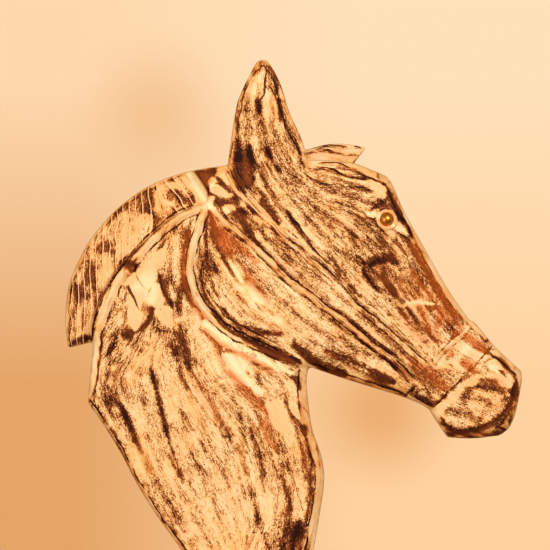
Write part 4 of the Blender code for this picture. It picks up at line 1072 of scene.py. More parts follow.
# %% Soft zones
DARK_ZONES = [
    # the mane
    (70, 342, 92, 336, 4, 0.6), (86, 270, 84, 310, 6, 0.3), (135, 195, 135, 230, 6, 0.3),
    (152, 188, 150, 212, 7, 0.5), (180, 180, 190, 200, 8, 0.55), (150, 224, 160, 232, 6, 0.6),
    (98, 250, 108, 252, 5, 0.5), (80, 290, 100, 325, 7, 0.7), (150, 212, 158, 220, 5, 1),
    # the neck
    (190, 235, 184, 260, 4, 0.4), (165, 270, 165, 300, 7, 0.4), (128, 262, 136, 270, 6, 0.6),
    (150, 245, 125, 275, 7, 0.35), (150, 305, 140, 328, 118, 345, 5, 0.3),
    (180, 325, 184, 350, 190, 368, 7, 0.7), (160, 400, 165, 430, 180, 470, 7, 0.3),
    (118, 350, 122, 380, 8, 0.5), (185, 370, 210, 410, 235, 450, 7, 0.2),
    (105, 390, 125, 430, 150, 480, 185, 540, 12, 0.3), (122, 350, 108, 385, 6, 0.35),
    (246, 430, 258, 460, 268, 500, 7, 0.25), (270, 410, 285, 460, 295, 520, 8, 0.5),
    (296, 380, 310, 440, 315, 490, 300, 540, 6, 0.65), (288, 525, 300, 545, 10, 1),
    (172, 500, 184, 530, 8, 0.4), (110, 330, 102, 345, 5, 0.3), (240, 392, 262, 402, 5, 0.9),
    (145, 280, 150, 300, 4, 0.5), (220, 345, 228, 360, 4, 0.6), (100, 395, 112, 410, 8, 0.7),
    (108, 320, 120, 338, 7, 0.5), (300, 528, 302, 548, 8, 1.4), (246, 370, 250, 440, 7, 0.4),
    (264, 400, 274, 535, 6, 0.2), (150, 325, 160, 312, 5, 0.5), (126, 262, 132, 276, 7, 0.8),
    (118, 376, 146, 398, 8, 0.6), (88, 400, 104, 420, 6, 0.7), (232, 400, 240, 412, 6, 0.7),
    (242, 434, 252, 460, 6, 0.5), (176, 228, 192, 232, 7, 0.6), (122, 422, 132, 446, 6, 0.5),
    (120, 332, 140, 345, 7, 0.8), (270, 545, 285, 549, 7, 0.9), (158, 405, 166, 430, 6, 0.9),
    (168, 280, 178, 290, 6, 0.8), (172, 345, 180, 358, 6, 0.9), (92, 408, 98, 420, 6, 0.8),
    (170, 304, 178, 314, 6, 1), (204, 330, 216, 338, 5, 0.8), (118, 362, 132, 368, 7, 0.9),
    (144, 372, 156, 380, 6, 0.7), (182, 364, 190, 376, 6, 0.8), (252, 348, 262, 400, 4, 0.8),
    (110, 402, 126, 418, 6, 0.8), (250, 490, 264, 535, 7, 1.1), (114, 375, 140, 400, 8, 0.9),
    (250, 385, 256, 402, 5, 0.9), (243, 432, 250, 470, 5, 0.9), (268, 425, 276, 450, 5, 0.9),
    (150, 308, 158, 330, 5, 0.8), (228, 402, 240, 414, 5, 1), (252, 400, 262, 425, 5, 0.8),
    (420, 398, 430, 404, 5, 0.8), (302, 464, 306, 476, 6, 0.9), (96, 322, 102, 336, 6, 0.8),
    (285, 370, 290, 376, 6, 0.5),
    # the cheek and the jaw
    (295, 345, 340, 364, 375, 374, 9, 0.9), (400, 384, 430, 398, 6, 0.4),
    (212, 225, 218, 250, 240, 262, 10, 0.8), (250, 318, 275, 334, 8, 0.5),
    (215, 310, 250, 340, 295, 360, 7, 0.7), (240, 285, 280, 310, 330, 340, 10, 0.2),
    (322, 372, 350, 378, 7, 0.8), (208, 258, 216, 268, 6, 0.9), (232, 238, 250, 245, 6, 0.5),
    (335, 340, 380, 356, 9, 0.8), (250, 325, 290, 330, 7, 0.5), (238, 268, 276, 274, 6, 0.8),
    (345, 350, 402, 352, 5, 0.8), (372, 380, 388, 384, 6, 0.8), (208, 256, 214, 268, 6, 1.4),
    (312, 344, 346, 354, 6, 0.5), (370, 380, 384, 382, 6, 1.2), (255, 275, 300, 320, 8, 0.5),
    (306, 300, 330, 322, 5, 0.6), (238, 245, 244, 280, 5, 0.6), (322, 346, 352, 358, 6, 1),
    (312, 342, 340, 350, 6, 0.9), (258, 305, 276, 318, 5, 0.7),
    # the poll, the forehead and the nose
    (243, 150, 250, 182, 12, 1.5), (270, 150, 288, 172, 305, 195, 14, 0.8),
    (262, 150, 290, 190, 330, 235, 16, 0.55), (300, 190, 340, 230, 370, 270, 16, 0.35),
    (372, 222, 384, 240, 400, 262, 7, 0.8), (320, 178, 350, 190, 388, 208, 11, 0.8),
    (395, 228, 415, 258, 8, 0.9), (365, 235, 385, 265, 400, 300, 17, 0.7), (388, 190, 400, 222, 6, 0.9),
    (405, 230, 425, 262, 450, 310, 7, 0.7), (395, 290, 415, 320, 432, 350, 15, 0.5),
    (340, 290, 370, 320, 410, 355, 440, 385, 11, 0.35), (240, 210, 270, 236, 290, 250, 10, 0.55),
    (258, 175, 272, 200, 290, 225, 9, 0.8), (200, 172, 225, 180, 240, 200, 8, 0.3),
    (228, 203, 240, 215, 255, 230, 6, 0.5), (216, 172, 222, 190, 6, 1), (205, 200, 212, 206, 5, 0.8),
    (256, 212, 266, 240, 4, 1), (390, 225, 400, 240, 5, 0.7), (345, 196, 352, 200, 5, 0.6),
    (400, 295, 420, 304, 5, 0.7), (262, 165, 276, 200, 8, 0.9), (345, 208, 372, 222, 8, 0.7),
    (376, 225, 386, 268, 7, 0.8), (404, 255, 418, 280, 6, 0.9), (428, 320, 446, 340, 8, 0.4),
    (420, 372, 446, 376, 8, 0.5), (322, 185, 334, 192, 6, 0.8), (228, 170, 244, 178, 5, 0.9),
    (264, 170, 285, 215, 9, 0.5), (378, 205, 402, 212, 9, 0.7), (296, 258, 330, 282, 6, 0.8),
    (412, 282, 420, 290, 6, 0.6), (262, 185, 284, 215, 8, 0.9), (370, 218, 382, 230, 8, 1.4),
    (372, 262, 386, 262, 7, 1.3), (414, 262, 426, 284, 6, 1.2), (300, 150, 316, 200, 306, 225, 6, 0.7),
    (205, 196, 216, 200, 5, 0.9), (330, 285, 345, 292, 4, 0.4), (440, 372, 452, 380, 6, 0.4),
    (450, 324, 454, 336, 5, 0.9), (340, 166, 352, 170, 4, 1), (262, 165, 266, 185, 7, 1.2),
    (346, 250, 362, 262, 5, 0.8), (380, 300, 392, 312, 6, 0.7), (404, 302, 416, 316, 5, 0.7),
    (268, 200, 280, 214, 6, 0.9), (306, 215, 318, 228, 6, 0.9), (370, 268, 402, 300, 9, 0.9),
    (355, 245, 364, 254, 5, 0.8), (394, 260, 404, 270, 5, 0.9), (406, 292, 420, 300, 5, 0.9),
    (326, 262, 334, 280, 5, 0.4), (428, 275, 434, 290, 5, 1),
    # the near ear
    (238, 110, 236, 140, 240, 175, 6, 0.4), (258, 98, 256, 130, 262, 160, 10, 0.5),
    (272, 85, 285, 120, 302, 158, 7, 0.5), (296, 152, 302, 166, 5, 0.9), (272, 68, 282, 92, 5, 0.7),
    (240, 88, 236, 105, 5, 0.6), (250, 110, 250, 135, 5, 0.6), (255, 75, 258, 95, 5, 0.6),
    (258, 112, 276, 134, 6, 0.7), (256, 60, 275, 90, 6, 0.5), (228, 150, 229, 176, 4, 1.2),
    (250, 112, 262, 122, 6, 0.9),
    # the band and the muzzle
    (444, 425, 480, 430, 505, 415, 515, 385, 6, 0.8), (465, 402, 490, 398, 12, 0.35),
    (468, 375, 500, 380, 7, 0.1), (502, 360, 515, 385, 6, 0.5), (446, 340, 470, 356, 9, 0.25),
    (434, 404, 444, 408, 4, 0.8), (448, 436, 480, 440, 500, 434, 4, 1.2), (505, 405, 514, 420, 5, 0.8),
    (452, 410, 462, 420, 7, 0.6), (464, 412, 476, 416, 7, 0.8), (506, 404, 514, 418, 6, 0.8),
    (476, 388, 502, 390, 4, 0.8), (505, 400, 514, 418, 6, 1.3), (440, 436, 480, 438, 504, 432, 5, 1.5),
    (490, 366, 506, 374, 5, 0.7), (476, 434, 496, 436, 4, 1.6), (436, 406, 446, 412, 5, 0.7),
    (470, 382, 486, 388, 5, 1),
]
LIGHT_ZONES = [
    # the mane
    (168, 200, 172, 216, 5, 0.9), (128, 200, 134, 206, 5, 0.6), (132, 215, 138, 232, 8, 0.9),
    (185, 182, 196, 190, 5, 0.8), (162, 205, 178, 214, 7, 0.7), (190, 184, 212, 190, 7, 0.8),
    (66, 300, 76, 316, 6, 0.7), (165, 220, 178, 208, 6, 0.9), (170, 208, 180, 216, 5, 1.1),
    (126, 250, 140, 258, 5, 1), (150, 210, 140, 240, 6, 0.5),
    # the neck
    (266, 402, 292, 416, 5, 0.8), (300, 440, 306, 456, 5, 0.9), (136, 432, 148, 475, 9, 1),
    (196, 480, 212, 520, 10, 1), (270, 405, 278, 420, 7, 0.8), (302, 445, 305, 455, 5, 0.9),
    (278, 500, 280, 520, 6, 0.8), (188, 385, 216, 425, 7, 0.8), (133, 308, 137, 322, 7, 1),
    (265, 462, 275, 476, 7, 0.7), (152, 255, 156, 270, 6, 0.6), (222, 362, 238, 376, 6, 0.7),
    (120, 275, 135, 290, 8, 0.6), (140, 285, 150, 300, 8, 0.6), (230, 500, 245, 540, 10, 0.5),
    (184, 255, 198, 260, 6, 0.6), (156, 300, 164, 320, 7, 0.8), (156, 340, 164, 370, 166, 400, 7, 0.7),
    (180, 318, 190, 332, 7, 0.8), (192, 350, 202, 366, 6, 0.8), (198, 438, 208, 455, 8, 0.8),
    (234, 400, 262, 446, 5, 0.6), (300, 438, 308, 452, 6, 0.7), (150, 495, 190, 550, 7, 0.7),
    (90, 378, 98, 392, 6, 0.7), (190, 248, 190, 268, 5, 0.9), (296, 385, 302, 410, 5, 0.8),
    (316, 470, 318, 510, 5, 0.8), (276, 500, 282, 524, 6, 0.9), (266, 406, 284, 418, 6, 1.3),
    (296, 406, 302, 420, 5, 1.3), (304, 440, 308, 456, 5, 1.3), (248, 484, 254, 498, 5, 1.4),
    (272, 500, 278, 530, 5, 1), (308, 508, 312, 524, 4, 1.3), (196, 486, 212, 524, 9, 1.2),
    (98, 370, 104, 382, 4, 0.9), (230, 398, 238, 410, 5, 1.4), (298, 402, 304, 412, 5, 0.8),
    (302, 440, 310, 460, 5, 1), (300, 512, 308, 524, 5, 1), (162, 342, 170, 354, 5, 0.8),
    (118, 290, 134, 330, 6, 0.6), (246, 488, 254, 512, 7, 1.2), (262, 530, 270, 545, 7, 1),
    (236, 378, 246, 412, 5, 1), (268, 402, 280, 440, 6, 0.8), (276, 460, 286, 476, 7, 0.8),
    (314, 505, 320, 520, 5, 0.9), (138, 392, 146, 430, 7, 1.1), (280, 420, 290, 466, 6, 0.5),
    # the cheek and the jaw
    (260, 345, 296, 356, 6, 0.7), (205, 312, 230, 322, 5, 0.9), (405, 385, 418, 392, 5, 0.7),
    (205, 210, 212, 222, 5, 0.6), (200, 312, 235, 325, 7, 0.5), (188, 250, 196, 280, 4, 0.5),
    (208, 228, 216, 246, 6, 1), (236, 270, 240, 288, 5, 0.8), (362, 356, 372, 364, 6, 0.8),
    (288, 342, 300, 348, 6, 0.9), (210, 312, 240, 328, 6, 1), (202, 210, 208, 220, 5, 1.1),
    (208, 240, 212, 250, 4, 1.2), (212, 308, 238, 322, 5, 1.1), (288, 344, 300, 350, 5, 0.8),
    (256, 252, 276, 268, 6, 0.9), (385, 366, 420, 392, 6, 1), (212, 308, 240, 322, 5, 0.7),
    (404, 384, 420, 392, 6, 1.1), (330, 340, 348, 348, 6, 0.7),
    # the poll, the forehead and the nose
    (345, 188, 362, 192, 5, 0.8), (378, 186, 392, 194, 5, 0.9), (364, 198, 376, 200, 4, 0.8),
    (346, 240, 352, 252, 5, 0.9), (246, 176, 252, 184, 5, 0.8), (438, 312, 462, 320, 5, 0.7),
    (335, 285, 352, 300, 10, 1), (290, 270, 310, 288, 8, 1), (375, 325, 412, 352, 7, 0.8),
    (325, 220, 340, 235, 8, 0.8), (370, 180, 388, 190, 7, 1), (270, 232, 286, 245, 5, 0.7),
    (268, 246, 292, 252, 5, 0.8), (306, 184, 318, 196, 6, 0.8), (340, 212, 376, 246, 7, 0.5),
    (392, 280, 404, 284, 6, 1), (436, 282, 470, 330, 480, 345, 8, 1), (402, 300, 420, 322, 7, 0.8),
    (360, 196, 396, 192, 6, 0.8), (405, 232, 416, 246, 5, 0.8), (238, 186, 262, 212, 296, 244, 5, 1),
    (272, 266, 300, 284, 336, 306, 5, 0.9), (308, 258, 352, 298, 390, 335, 424, 360, 6, 1),
    (300, 268, 318, 288, 338, 304, 6, 0.9), (344, 286, 354, 312, 7, 1.5), (274, 262, 298, 276, 5, 1),
    (385, 326, 400, 336, 6, 0.9), (420, 352, 440, 358, 5, 0.9), (430, 262, 450, 296, 3, 0.8),
    (296, 160, 304, 176, 5, 0.8), (376, 180, 396, 192, 5, 0.9), (322, 176, 340, 184, 5, 0.8),
    (204, 208, 222, 216, 240, 232, 6, 0.9), (224, 170, 240, 186, 5, 0.7), (368, 200, 390, 215, 4, 0.4),
    (392, 224, 400, 230, 5, 0.9), (420, 262, 448, 296, 4, 0.6), (434, 340, 446, 350, 6, 0.9),
    (310, 186, 322, 198, 7, 1.1), (318, 162, 334, 170, 6, 0.8), (320, 232, 330, 242, 6, 1),
    (342, 246, 350, 256, 5, 0.8), (358, 250, 366, 258, 5, 0.9), (400, 255, 404, 275, 4, 0.8),
    # the near ear
    (230, 112, 236, 150, 5, 0.8), (268, 95, 276, 108, 6, 0.9), (276, 148, 284, 158, 6, 0.7),
    (230, 112, 232, 132, 4, 0.8), (233, 114, 236, 150, 4, 1.3), (254, 66, 266, 74, 6, 0.8),
    (236, 110, 234, 140, 4, 0.9), (228, 120, 232, 142, 4, 1.2), (270, 110, 278, 124, 5, 0.8),
    (258, 126, 264, 142, 5, 0.9),
    # the far ear and the forelock
    (312, 152, 345, 156, 6, 1), (316, 152, 330, 160, 348, 166, 8, 1.4),
    # the band and the muzzle
    (500, 390, 506, 412, 5, 0.7), (470, 368, 474, 374, 8, 1), (466, 332, 480, 350, 8, 0.8),
    (480, 398, 484, 410, 8, 0.9), (470, 405, 484, 422, 6, 0.7), (466, 338, 480, 346, 5, 1),
    (468, 364, 472, 376, 5, 1.4), (476, 416, 484, 402, 5, 1.2), (462, 366, 478, 376, 500, 380, 7, 1.2),
    (492, 352, 504, 362, 6, 0.7), (508, 372, 520, 378, 6, 0.7),
]
CALM_ZONES = [
    # the mane
    (196, 172, 206, 200, 6, 1), (160, 222, 146, 238, 136, 250, 4, 1),
    # the neck
    (130, 275, 150, 295, 140, 320, 10, 1), (160, 285, 165, 300, 5, 1), (228, 352, 243, 370, 256, 392, 5, 1),
    (100, 345, 98, 380, 3, 1), (195, 300, 215, 330, 5, 1), (235, 425, 245, 470, 5, 1),
    (190, 400, 205, 430, 5, 1), (140, 440, 150, 470, 6, 1),
    # the cheek and the jaw
    (226, 260, 242, 282, 7, 1), (245, 288, 280, 322, 8, 1), (352, 376, 380, 384, 4, 1),
    (388, 386, 402, 394, 4, 1),
    # the poll, the forehead and the nose
    (318, 168, 345, 176, 5, 1), (366, 178, 396, 190, 6, 1), (214, 182, 226, 194, 5, 1),
    (222, 202, 234, 212, 5, 1), (360, 215, 378, 216, 4, 1), (396, 225, 408, 238, 4, 1),
    (396, 306, 437, 305, 2, 1),
    # the near ear
    (256, 72, 254, 95, 5, 1), (266, 88, 274, 112, 7, 1),
    # the far ear and the forelock
    (315, 150, 358, 158, 8, 1),
    # the band and the muzzle
    (484, 352, 498, 358, 5, 1), (470, 366, 474, 374, 5, 1), (440, 398, 442, 416, 6, 1),
]
print("zones:", len(DARK_ZONES), "dark,", len(LIGHT_ZONES), "light,", len(CALM_ZONES), "calm")

# %% [markdown]
# Now those rows are put on maps. A stroke is ragged at its edges and thinner at its ends. A wash
# fades by a bell curve. A patch is the inside of its outline. The hidden flank has no photograph,
# so its strokes are placed at random along the flow.

# %% Brushes, washes and patches
RAGGED = 1.1
STROKE_LENGTHS = (8, 34)
STROKE_BEND = 0.06
STROKE_HALF_WIDTHS = (0.7, 2.6)
STROKE_STRENGTHS = (0.5, 1)
STROKES_LEAST_HALF = 20
STROKES_FROM = -150


def brush(target, line, half_width, strength, raggedness):
    """One stroke on a map, full in its middle."""
    area, distance, run, length = near(line, 2.5 * half_width + 2)
    ends = np.clip(np.minimum(run, length - run) / (0.35 * length + 0.01), 0, 1)
    width = half_width * (0.55 + 0.45 * ends)
    edge = np.abs(distance) + raggedness[area] * RAGGED * np.minimum(1, half_width / 2)
    mark = strength * (1 - smooth_step(edge, 0.2 * width, 1.9 * width))
    target[area] = np.maximum(target[area], mark)


def photo_strokes(target, rows, raggedness):
    """The strokes that rows of pixels, half width and strength give."""
    for *pixels, half_width, strength in rows:
        brush(target, photo_line(pixels), half_width * PIXEL, strength, raggedness)


def random_strokes(target, count, seed, raggedness, most=0.9):
    """Strokes at random places, along the flow and a little bent, up to the strength most."""
    rng = np.random.default_rng(seed)
    on_flank = np.argwhere((map_half > STROKES_LEAST_HALF) & (map_x > STROKES_FROM))
    for i, j in on_flank[rng.integers(0, len(on_flank), count)]:
        length = rng.uniform(*STROKE_LENGTHS)
        ahead = np.array([math.cos(map_flow[i, j]), math.sin(map_flow[i, j])])
        bend = rng.normal(0, STROKE_BEND) * length * np.array([-ahead[1], ahead[0]])
        middle = np.array([grid_x[i], grid_z[j]])
        line = smooth_line([middle - ahead * length / 2, middle + bend, middle + ahead * length / 2])
        half_width = rng.uniform(*STROKE_HALF_WIDTHS)
        brush(target, line, half_width, rng.uniform(*STROKE_STRENGTHS) * most, raggedness)


def photo_washes(rows):
    """A map of the soft zones that rows of pixels, half width and strength give."""
    washes = np.zeros(map_x.shape)
    for *pixels, half_width, strength in rows:
        reach = half_width * PIXEL
        area, distance, _, _ = near(photo_line(pixels), 2.5 * reach)
        washes[area] = np.maximum(washes[area], strength * np.exp(-(distance / reach)**2 * 0.8))
    return washes


def photo_patches(outlines, raggedness):
    """A map that is 1 inside any of the outlines, with an uneven border."""
    covered = np.zeros(map_x.shape)
    for pixels in outlines:
        covered = np.maximum(covered, inside(photo_line(pixels + pixels[:2])))
    return read_map(covered, map_x + raggedness, map_z - raggedness)


print("random strokes are", *STROKE_LENGTHS, "mm long at the least and the most")

# %% [markdown]
# Now each flank collects its marks, as maps with a name. The shown flank takes them from the
# photograph, with a few random strokes between them. The hidden one is plainer.

# %% The marks of each flank
STROKES = {"dark": DARK_STROKES_AND_STEP_SHADE, "rust": RUST_STROKES, "pale": PALE_STROKES}
ZONES = {"shaded": DARK_ZONES, "light": LIGHT_ZONES, "calm": CALM_ZONES}
PATCHES = {"clean patch": CLEAN_PATCHES, "dark patch": DARK_PATCHES, "rust patch": RUST_PATCHES}
SHOWN_STROKES = 110
SHOWN_STRENGTH = 0.6
HIDDEN_STROKES = {"dark": 150, "rust": 37, "pale": 30}
# The hidden flank repeats the first two rows of the mane and of the head, so the partly painted shade along
# the mane's step is there too.
REPEATED_STROKES_AND_STEP_SHADE = MANE_STROKES_AND_STEP_SHADE[:2] + HEAD_STROKES[:2]
RUST_IN_PATCH = 0.7


def shown_marks(ragged, seed):
    """The marks of the flank in the photograph."""
    marks = {name: np.zeros(map_x.shape) for name in STROKES}
    for name, rows in STROKES.items():
        photo_strokes(marks[name], rows, ragged)
    random_strokes(marks["dark"], SHOWN_STROKES, seed + 1, ragged, SHOWN_STRENGTH)
    marks |= {name: photo_washes(rows) for name, rows in ZONES.items()}
    marks |= {name: photo_patches(rows, 0.5 * ragged) for name, rows in PATCHES.items()}
    marks["rust"] = np.maximum(marks["rust"], RUST_IN_PATCH * marks["rust patch"])
    return marks


def hidden_marks(ragged, seed):
    """The marks of the flank that the photograph doesn't show: no zones and no patches."""
    marks = {name: np.zeros(map_x.shape) for name in (*STROKES, *ZONES, *PATCHES)}
    for number, (name, count) in enumerate(HIDDEN_STROKES.items(), 1):
        random_strokes(marks[name], count, seed + number, ragged)
    photo_strokes(marks["dark"], REPEATED_STROKES_AND_STEP_SHADE, ragged)
    return marks


right_ragged, left_ragged = (0.6 * hair + 0.5 * speckle(1.4, seed)
                             for hair, seed in ((hair_fine, 20), (hair_fine_left, 40)))
right_marks = shown_marks(right_ragged, 20)
left_marks = hidden_marks(left_ragged, 40)
print("dark strokes cover", right_marks["dark"].mean().round(3), "and", left_marks["dark"].mean().round(3))

# %% [markdown]
# The undercoat that shows is a sum. Each layer adds its share, and a layer of cream has a negative
# one. Strokes, grooves and seams don't add up: the darkest of the three counts. Patches come
# last, because each pulls the sum towards a level of its own, and calms the noise.
#
# Six maps leave this cell for each flank: undercoat, rough (how much noise breaks the paint up),
# rusty (how red the bare wood is), rust and pale (colours in the paint), and golden (old cream).

# %% Painting the maps
BASE_UNDERCOAT = 0.345
STROKE_DARKNESS = 0.30
GROOVE_DARKNESS = 0.22
SEAM_DARKNESS = 0.26
LAYER_SHARES = {"broad hair": 0.06, "fine hair": 0.03, "blotches": 0.03, "shaded": 0.21,
                "cracks": 0.26, "rust": 0.03, "light": -0.12, "pale": -0.12, "ridges": -0.13,
                "strips": -0.06, "thick": -0.08}
PATCH_LEVELS = [("rust patch", 0.53, 0.5, 0.0), ("clean patch", 0.22, 0.8, 0.4),
                ("dark patch", 0.61, 0.7, 0.3), ("eye ring", 0.16, 0.95, 0.7)]
THICK_STROKES = 170
RIDGE_HEIGHT = 1.6
GROOVE_DEPTH = 2.0
CALMING = 0.7
MANE_CALM = 0.3
COMB_UNEVEN = 0.22
MANE_TOP = RUNS["mane"][0][-1][1]


def paint_flank(fine, broad, ragged, marks, seed):
    """The six maps of one flank, by name: shares of the layers, then the patches over them."""
    dark, rust, pale = marks["dark"], marks["rust"], marks["pale"]
    rust = np.clip(rust + 0.1 * broad * (rust > 0.05), 0, 1)
    thick = np.zeros(map_x.shape)
    random_strokes(thick, THICK_STROKES, seed + 4, ragged, 1.0)
    layers = {"broad hair": broad, "fine hair": fine,
              "blotches": speckle(14, seed + 7) + speckle(6, seed + 8),
              "shaded": marks["shaded"], "cracks": map_cracks, "rust": rust, "light": marks["light"],
              "pale": pale, "ridges": np.clip(map_lines / RIDGE_HEIGHT, 0, 1), "strips": map_strips,
              "thick": thick * (1 - dark)}
    grooves = np.clip(-map_lines / GROOVE_DEPTH, 0, 1)
    seams = map_seams * smooth_step(speckle(7, seed + 9), -0.8, 0.4)
    cuts = np.maximum(np.maximum(STROKE_DARKNESS * dark, GROOVE_DARKNESS * grooves), SEAM_DARKNESS * seams)
    undercoat = BASE_UNDERCOAT + cuts + sum(LAYER_SHARES[name] * layer for name, layer in layers.items())
    clean = smooth_step(speckle(10, seed + 5) + 0.5 * speckle(4, seed + 6), 0.5, 1.4)
    calm = np.maximum.reduce([marks["calm"], np.clip(map_lines, 0, 1), MANE_CALM * map_mane, map_strips,
                              0.7 * clean])
    rough = (1.0 - CALMING * calm) * (1 - 0.3 * dark**2)
    for name, level, share, calmer in PATCH_LEVELS:
        patch = on_ring if name == "eye ring" else marks[name]
        undercoat = undercoat + (level - undercoat) * share * patch
        rough = rough * (1 - calmer * patch)
    rusty = np.clip(rust + 0.6 * marks["rust patch"], 0, 1)
    golden = np.maximum(0.8 * marks["clean patch"], 1.6 * on_ring) * (1 - np.clip(pale, 0, 1))
    return {"undercoat": undercoat, "rough": rough, "rusty": rusty, "rust": rust, "pale": pale,
            "golden": golden}


spacing = (FLUTES_TO - FLUTES_FROM) / (MANE_FLUTES - 1)
leaning = FLUTE_LEAN * smooth_step(map_x, FLUTES_LEAN_FROM, FLUTES_TO) * (MANE_TOP - map_z)
map_comb = (map_x - leaning - FLUTES_FROM) / spacing + COMB_UNEVEN * speckle(11, 70)
right_maps = paint_flank(hair_fine, hair_broad, right_ragged, right_marks, 20)
left_maps = paint_flank(hair_fine_left, hair_broad_left, left_ragged, left_marks, 40)
print("undercoat on the right flank:", right_maps["undercoat"].mean().round(2))

# %% [markdown]
# The maps become attributes of the mesh: one value at each point. On the flanks they are read
# straight across. On the sawn edges they would run as bands across the block, so there they fade
# to an even value, and the stroke direction follows the edge. The colour is worked out here too:
# cream with a slow change of tone, golden on ridges and rims, with rust and pale thick patches.
#
# An angle has a seam where it jumps by half a turn, and a blend across that jump would be wrong.
# So the jump is put at 20 degrees, a direction that no stroke on the flank takes.

# %% Colours and attributes
CREAM = (240, 210, 165)
WARM_CREAM = (236, 194, 136)
GOLDEN = (226, 168, 100)
RUST = (212, 110, 28)
PALE = (252, 232, 188)
EDGE_UNDERCOAT = 0.30
EDGE_ROUGH = 0.6
FLANK_FACING = (0.1, 0.35)
FLOW_WRAP = math.radians(20)
TONE = ((26, 1.0), (9, 0.6))
RUSTY_SHARE = 0.9


def linear(rgb):
    """A colour given as it shows on a screen, 0 to 255, as linear values for the renderer."""
    share = np.array(rgb, float) / 255
    return np.where(share <= 0.04045, share / 12.92, ((share + 0.055) / 1.055)**2.4)


def opaque(rgb):
    """The same with an alpha of 1, as sockets take it."""
    return (*linear(rgb), 1)


def mixed(base, colour, amount):
    """One colour for each point: base turned towards a colour by the amount."""
    return base + (linear(colour) - base) * np.clip(amount, 0, 1)[:, None]


def set_attribute(mesh, name, kind, values):
    """Stores one value, or one colour, for each point of the mesh."""
    attribute = mesh.attributes.new(name, kind, "POINT")
    key = "color" if kind == "FLOAT_COLOR" else "value"
    attribute.data.foreach_set(key, values.astype(np.float32).ravel())


def both_flanks(side, x, z, right, left):
    """Reads the right flank's map where side is -1 and the left flank's where it is +1."""
    return np.where(side < 0, read_map(right, x, z), read_map(left, x, z))


def stroke_angle(normals, x, z, face_on):
    """The stroke angle at each point: the flow on the flanks, the edge's own way on the edges."""
    along_edge = np.arctan2(normals[:, 0], -normals[:, 2])
    sine = read_map(np.sin(2 * map_flow), x, z) * face_on + np.sin(2 * along_edge) * (1 - face_on)
    cosine = read_map(np.cos(2 * map_flow), x, z) * face_on + np.cos(2 * along_edge) * (1 - face_on)
    angle = 0.5 * np.arctan2(sine, cosine)
    return np.where(angle > FLOW_WRAP, angle - math.pi, angle)


def paint_colour(side, x, z, face_on, maps):
    """The colour of the top coat at each point, by its maps."""
    right_tone, left_tone = (sum(share * speckle(cell, seed + k) for k, (cell, share) in enumerate(TONE))
                             for seed in (61, 63))
    tone = both_flanks(side, x, z, right_tone, left_tone)
    ridge = np.clip(read_map(map_lines, x, z) / RIDGE_HEIGHT + read_map(map_strips, x, z), 0, 1) * face_on
    gold = (0.40 + 0.2 * tone) * ridge + 0.45 * (1 - face_on) + 0.3 * read_map(map_mane, x, z)
    colour = np.repeat(linear(CREAM)[None, :], len(x), axis=0)
    colour = mixed(colour, WARM_CREAM, 0.30 + 0.28 * tone)
    colour = mixed(colour, GOLDEN, gold + 0.35 * maps["golden"] * face_on)
    colour = mixed(colour, RUST, 0.85 * maps["rust"] * face_on)
    return mixed(colour, PALE, maps["pale"] * face_on)


def paint(mesh):
    """Writes what the material reads at each point: eight values, and the colour of the paint."""
    normals = point_normals(mesh)
    x, _, z = (read_places(mesh) / MM).T
    side = np.where(normals[:, 1] < 0, -1, 1)
    face_on = smooth_step(np.abs(normals[:, 1]), *FLANK_FACING)
    maps = {name: both_flanks(side, x, z, right_maps[name], left_maps[name]) for name in right_maps}
    colour = paint_colour(side, x, z, face_on, maps)
    values = {
        "undercoat": EDGE_UNDERCOAT + (maps["undercoat"] - EDGE_UNDERCOAT) * face_on,
        "flow": stroke_angle(normals, x, z, face_on),
        "rusty": RUSTY_SHARE * maps["rusty"] * face_on,
        "rough": EDGE_ROUGH + (maps["rough"] - EDGE_ROUGH) * face_on,
        "ink": read_map(map_ink, x, z),
        "inked": read_map(map_inked, x, z) * face_on,
        "comb": read_map(map_comb, x, z),
        "mane": read_map(map_mane, x, z) * face_on,
    }
    for name, value in values.items():
        set_attribute(mesh, name, "FLOAT", value)
    set_attribute(mesh, "paint", "FLOAT_COLOR", np.column_stack([colour, np.ones(len(x))]))
    print("undercoat:", values["undercoat"].min().round(2), "to", values["undercoat"].max().round(2))


paint(head.data)

# %% [markdown]
# The material turns those attributes into dry-brushed paint. Fine noise, stretched along the
# strokes, is added to the undercoat value, and where the sum passes a threshold the brown shows.
# A texture turned by an angle that changes over the horse would smear. So the angle is rounded
# down and up to steps, the noise is taken at both, and the two are blended.

# %% Small helpers for the node trees
FLOW_STEP = math.radians(15)


def node(tree, kind, **inputs):
    """A shader node with some inputs set, by name: a number, a colour, or another node's output."""
    made = tree.nodes.new(kind)
    for name, value in inputs.items():
        connect(tree, made.inputs[name.replace("_", " ")], value)
    return made


def connect(tree, socket, value):
    """Links an output to a socket, or sets the socket's own value."""
    if isinstance(value, bpy.types.NodeSocket):
        tree.links.new(value, socket)
    else:
        socket.default_value = value


def math_node(tree, operation, *values):
    """The output of one Math node."""
    made = tree.nodes.new("ShaderNodeMath")
    made.operation = operation
    for socket, value in zip(made.inputs, values):
        connect(tree, socket, value)
    return made.outputs[0]


def attribute(tree, name, output="Fac"):
    """The output of an Attribute node."""
    made = tree.nodes.new("ShaderNodeAttribute")
    made.attribute_name = name
    return made.outputs[output]


def turned_noise(tree, place, angle, across, along, detail):
    """Noise stretched along one direction, given as the angle of the strokes in the xz plane."""
    turn = node(tree, "ShaderNodeVectorRotate", Vector=place, Angle=angle)
    turn.rotation_type = "Y_AXIS"
    scaled = node(tree, "ShaderNodeVectorMath", Vector=turn.outputs[0])
    scaled.operation = "MULTIPLY"
    scaled.inputs[1].default_value = (1 / (along * MM), 1 / (across * MM), 1 / (across * MM))
    return node(tree, "ShaderNodeTexNoise", Vector=scaled.outputs[0], Scale=1.0, Detail=detail,
                Roughness=0.6).outputs[0]


